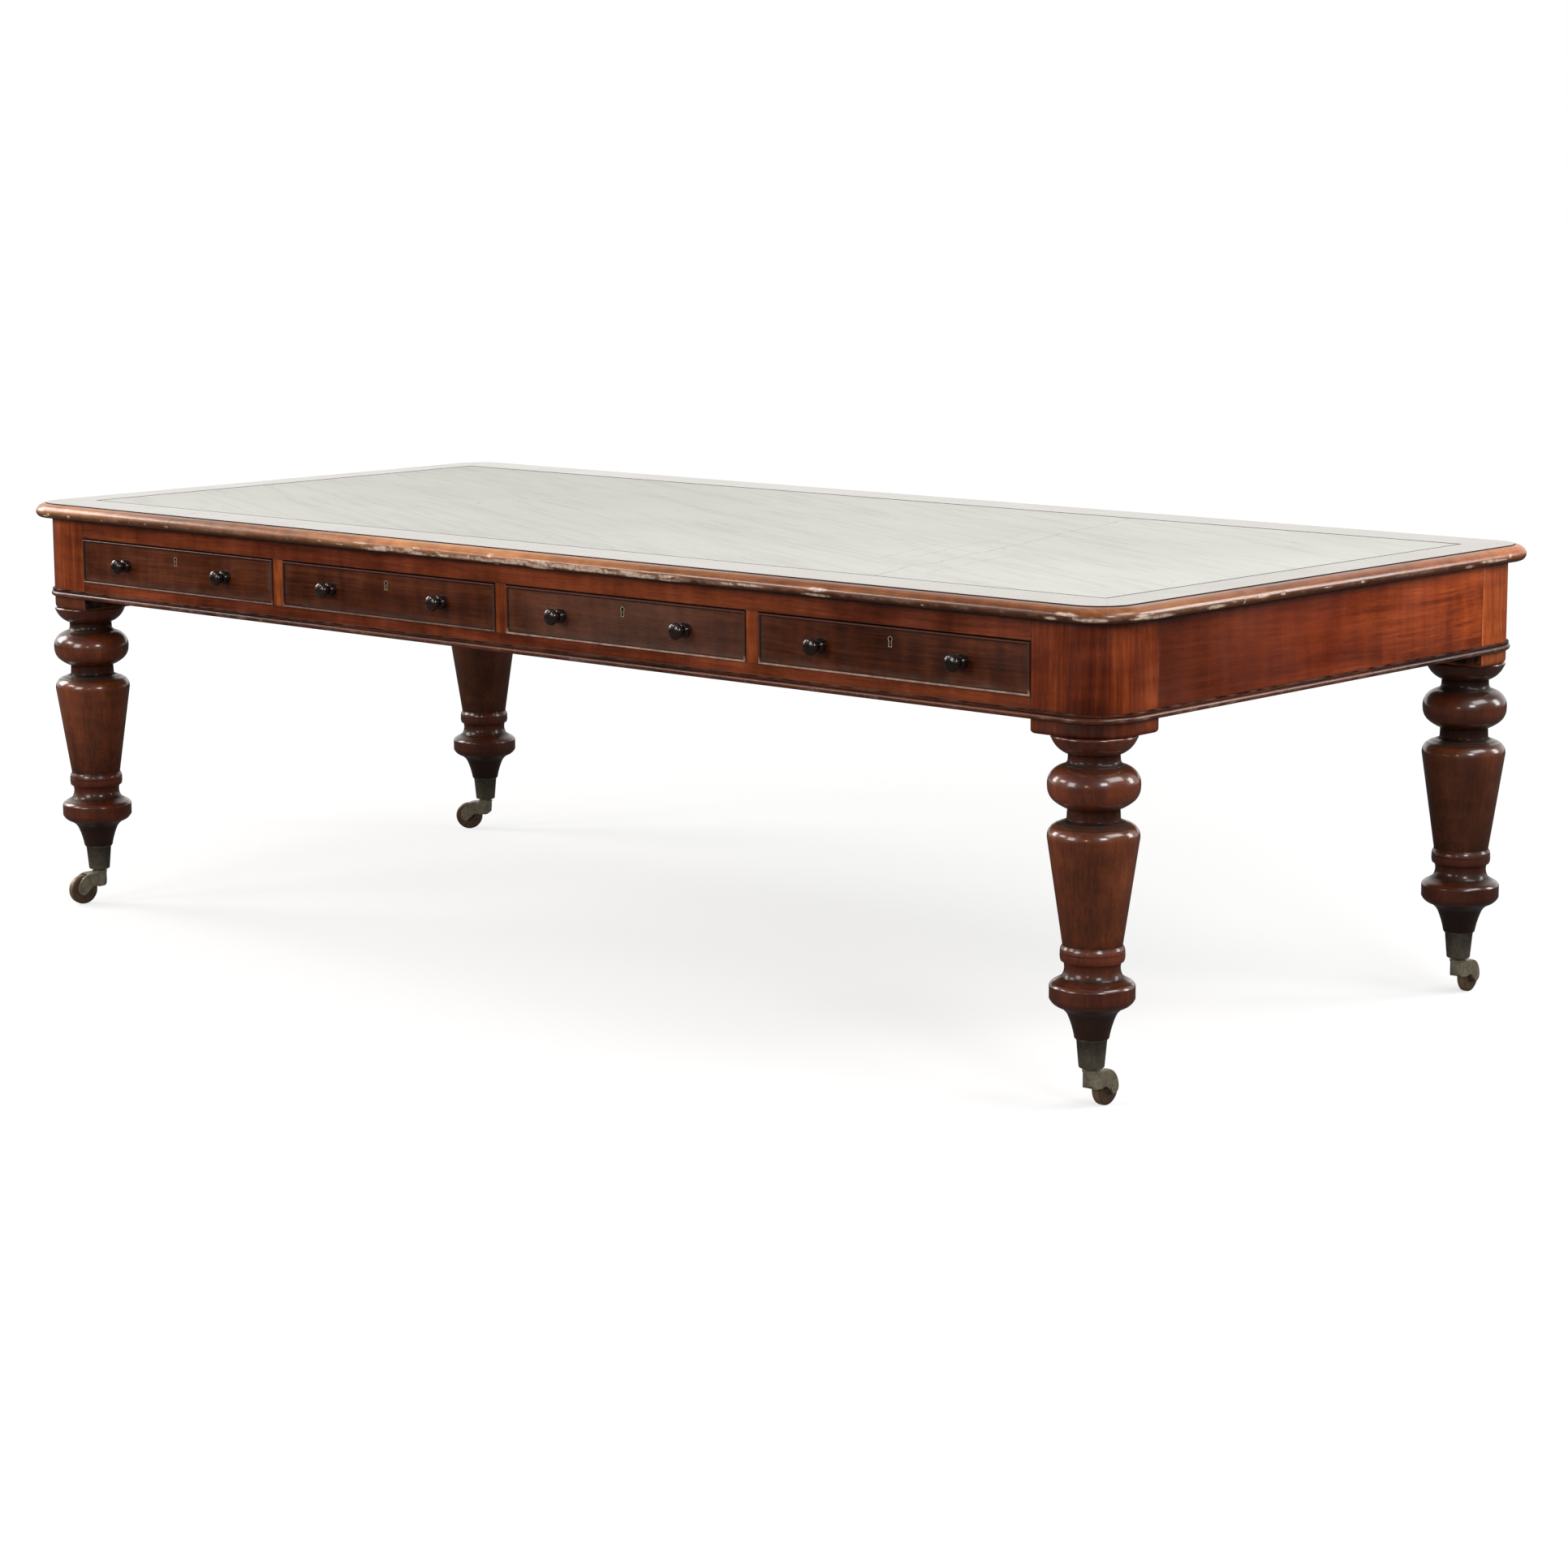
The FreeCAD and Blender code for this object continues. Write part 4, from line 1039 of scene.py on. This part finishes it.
def front_dust_and_painted_light(axes):
    """Painted shade as a black line inside the cockbeads, a dusty band beside it, the rubbed red of the
    beads, and a painted highlight on the lower beads.
    """
    x, _, z = axes
    nose, inner = bead_masks(axes)
    panel = 1.0 - nose
    sides = maths("MINIMUM", inner[0], inner[1])
    line = near(maths("MINIMUM", sides, inner[2]), 0.0, 0.0022) * panel
    haze = ramp(noise(coordinates(x.tree), 16.0, 3.0, 0.6), [(0.4, 0.15), (0.62, 1.0)])
    band = near(sides, 0.003, 0.011) * panel * haze
    low = near(z, COCKBEAD_INNER_LOW - 0.0016, 0.01) * maths("MULTIPLY_ADD", x > 0.0, 0.7, 0.3)
    return [
        (band, GREY_DUST, 0.45),
        # Painted shade: a black line in the corner inside the cockbeads
        (line, PAINTED_SHADE_BLACK, 1.8),
        (nose, (0.075, 0.015, 0.0045), 1.1),
        # Painted highlight: the lower beads are pale, most of all on the right-hand drawers
        (nose * low, (0.4, 0.24, 0.18), 1.1),
    ]


def bead_gloss(axes):
    """The cockbeads are glossier than the panel that they frame."""
    return maths("MULTIPLY_ADD", bead_masks(axes)[0], 0.3, 0.1)


def front_painted_sheen(axes, colour):
    """A painted sheen greys the polish of the third drawer, standing in for reflected light."""
    haze = near(axes[0], 0.3, 0.36) * (axes[1] < 0.0)
    return mix(haze * 0.45, colour, (0.125, 0.072, 0.054))


def edge_tint_and_light(axes, colour):
    """The moulding is lighter and golden towards one end of the front and darker by the other, partly
    bleached wood and partly painted light; painted light makes its end lighter towards the back, and
    painted shade darkens its lower half.
    """
    colour = shaded(colour, spread(axes[0], -1.27, 1.1), [
        (0.0, (1.35, 1.22, 1.0)), (0.22, (0.95, 0.8, 0.62)), (0.45, (1.25, 1.08, 0.9)),
        (0.7, (0.72, 0.56, 0.44))])
    # Painted light: the end of the moulding is lighter towards the back
    painted_light = spread(axes[1], -0.45, 0.45) * (axes[0] > 1.2)
    colour = mix(painted_light, colour, vector_maths("MULTIPLY", colour, (1.45, 1.25, 1.05)))
    # Painted shade: the lower half of the moulding is darker
    return mix(1.0, colour, spread(axes[2], 0.74, 0.7515, 0.2, 1.0), "MULTIPLY")


def end_painted_light(axes, colour):
    """Painted light on the end and its posts: darker towards the front and lighter towards the back, as
    light falls there.
    """
    painted_light = shaded(colour, spread(axes[1], -0.45, 0.53), [
        (0.0115, (0.74, 0.62, 0.56)), (0.013, (0.54, 0.47, 0.45)), (0.478, (1.02, 0.76, 0.58)),
        (0.81, (2.3, 2.3, 2.1)), (0.903, (2.6, 2.6, 2.4)), (0.909, (1.8, 1.9, 1.9)),
        (1.0, (1.7, 1.9, 2.0))])
    return mix(axes[0] > 0.0, colour, painted_light)


def border_wall_shade(axes):
    """Painted shade: the edge of the border, where it stands above the moulding's quirk, is painted
    black.
    """
    return [(axes[2] < BORDER_FACE, PAINTED_SHADE_BLACK, 3.0)]


def border_gloss(axes):
    """The border is glossy on top only."""
    return axes[2] > BORDER_FACE


def leg_tint_and_shade(axes, colour):
    """The leg is warmest along its taper and redder at its rings, with painted shade making its foot
    dark and the back legs darker.
    """
    shade = ramp(spread(axes[2], CUP_TOP, POST_BOTTOM), [
        (0.0, (0.12, 0.15, 0.19)), (0.085, (0.14, 0.17, 0.21)), (0.12, (0.58, 0.48, 0.54)),
        (0.3, (0.72, 0.6, 0.64)), (0.34, (1.0, 1.0, 1.0)), (0.69, (0.95, 0.95, 0.95)),
        (0.715, (0.55, 0.5, 0.6)), (0.76, (0.62, 0.52, 0.58)), (0.8, (0.86, 0.8, 0.84)),
        (0.87, (0.66, 0.54, 0.6)), (0.9, (0.46, 0.4, 0.48)), (1.0, (0.56, 0.44, 0.48))])
    colour = mix(1.0, colour, shade, "MULTIPLY")
    # Painted shade: the back legs are darker
    return mix((axes[1] > 0.0) * 0.45, colour, 0.0)


def leg_grime(axes):
    """Dust on the flat tops of the turned dome, the ball and the foot ring."""
    return [(near(axes[2], CUP_TOP + (POST_BOTTOM - CUP_TOP) * share, reach), DARK_DUST, strength)
            for share, reach, strength in LEG_DUST]


bpy.context.scene.view_settings.view_transform = "Standard"
make_camera()
make_lights()
make_stage()

# Linear colours of the woods, each dark, middle and light
RED = [(0.056, 0.0078, 0.0015), (0.142, 0.0235, 0.0048), (0.24, 0.048, 0.0105)]
ORANGE = [(0.125, 0.019, 0.0034), (0.285, 0.06, 0.0118), (0.45, 0.13, 0.028)]
BROWN = [(0.032, 0.0064, 0.0016), (0.073, 0.0152, 0.0037), (0.132, 0.033, 0.0092)]
POST_ORANGE = [(0.07, 0.0095, 0.0018), (0.195, 0.0345, 0.0065), (0.39, 0.09, 0.019)]
DARK_RED = [(0.028, 0.006, 0.0018), (0.078, 0.0165, 0.005), (0.14, 0.034, 0.011)]
LEG_BROWN = [(0.092, 0.019, 0.0045), (0.19, 0.0425, 0.0105), (0.31, 0.082, 0.0225)]
# The border's pale tone is partly its own colour and partly a painted reflection of the white surround
BORDER_BROWN = [(0.125, 0.082, 0.05), (0.165, 0.112, 0.072), (0.215, 0.152, 0.104)]
GOLDEN = [(0.16, 0.052, 0.014), (0.37, 0.14, 0.042), (0.56, 0.26, 0.092)]
EBONY = [(0.006, 0.003, 0.002), (0.016, 0.007, 0.005), (0.034, 0.014, 0.008)]
PINE = [(0.24, 0.15, 0.075), (0.42, 0.29, 0.16)]
BORDER_FRAME = (TOP_LENGTH - 2 * MOULDING_WIDTH, TOP_DEPTH - 2 * MOULDING_WIDTH,
                SIDE_BORDER / END_BORDER)

make_legs(wood("leg_mahogany", "z", LEG_BROWN, roughness=0.32, coat=1.0, coat_roughness=0.14,
               specular=0.35, attributes=True, tint=leg_tint_and_shade, grime=leg_grime, streaks=0.6))
make_knobs(wood("knob_wood", "y", EBONY, roughness=0.14, coat=1.0, coat_roughness=0.05,
                attributes=True))
make_edge_moulding(wood("edge_mahogany", "x", GOLDEN, roughness=0.34, coat=0.6, coat_roughness=0.17,
                        specular=0.35, patina=0.25, frame_size=(TOP_LENGTH, TOP_DEPTH),
                        attributes=True, tint=edge_tint_and_light))
make_frieze_bead(wood("bead_mahogany", "x", DARK_RED, roughness=0.34, coat=0.4, coat_roughness=0.2,
                      attributes=True, frame_size=(FRIEZE_LENGTH, FRIEZE_DEPTH)))
make_leather(leather("old_leather"))
make_caster_cups(old_brass("cup_brass", (0.15, 0.125, 0.09), (0.082, 0.068, 0.05),
                           (0.026, 0.021, 0.015)))
make_wheels(old_brass("wheel_brass", (0.15, 0.085, 0.052), (0.075, 0.043, 0.028),
                      (0.02, 0.014, 0.01), metal=0.4))

pine_along = plain_wood("pine_carcass", "y", *PINE, 0.7)
pine_across = plain_wood("pine_rail", "x", *PINE, 0.7)
NODE_MATERIALS = {
    "corner_post": wood("post_mahogany", "z", POST_ORANGE, grime=post_grime_and_shade, tint=end_painted_light, streaks=0.7,
                        patina=0.28),
    "drawer_dividers": wood("divider_mahogany", "z", ORANGE, grime=divider_grime),
    "long_rails": wood("rail_mahogany", "x", RED, grime=rail_grime_and_shade, streaks=0.9, patina=0.5),
    "end_rails": wood("end_mahogany", "y", RED, grime=post_grime_and_shade, tint=end_painted_light, streaks=0.75,
                      patina=0.18),
    "top_border": wood("border_mahogany", "x", BORDER_BROWN, roughness=0.24, coat_roughness=0.08,
                       specular=0.4, bump=0.0, pore=0.1, gloss=border_gloss, grime=border_wall_shade,
                       frame_size=BORDER_FRAME),
    "top_panel": pine_across,
    "drawer_runners": pine_along,
    "drawer_kickers": pine_along,
    "centre_rail": pine_across,
    "caster_horn": old_brass("horn_brass", (0.3, 0.26, 0.18), (0.15, 0.13, 0.092),
                             (0.035, 0.028, 0.019)),
    "_front": wood("drawer_front_mahogany", "x", BROWN, grime=front_dust_and_painted_light, figure=1.0,
                   gloss=bead_gloss, tint=front_painted_sheen),
    "_box": plain_wood("oak_lining", "y", (0.17, 0.1, 0.052), (0.33, 0.215, 0.12)),
    "_lock": old_brass("rim_brass", (0.44, 0.36, 0.24), (0.27, 0.21, 0.14), (0.09, 0.065, 0.045),
                       roughness=0.34, metal=0.35, inside=0.0012),
}
for node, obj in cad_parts.items():
    for word, material in NODE_MATERIALS.items():
        if node.startswith(word) or (word[0] == "_" and node.endswith(word)):
            for slot in obj.material_slots:
                slot.material = material
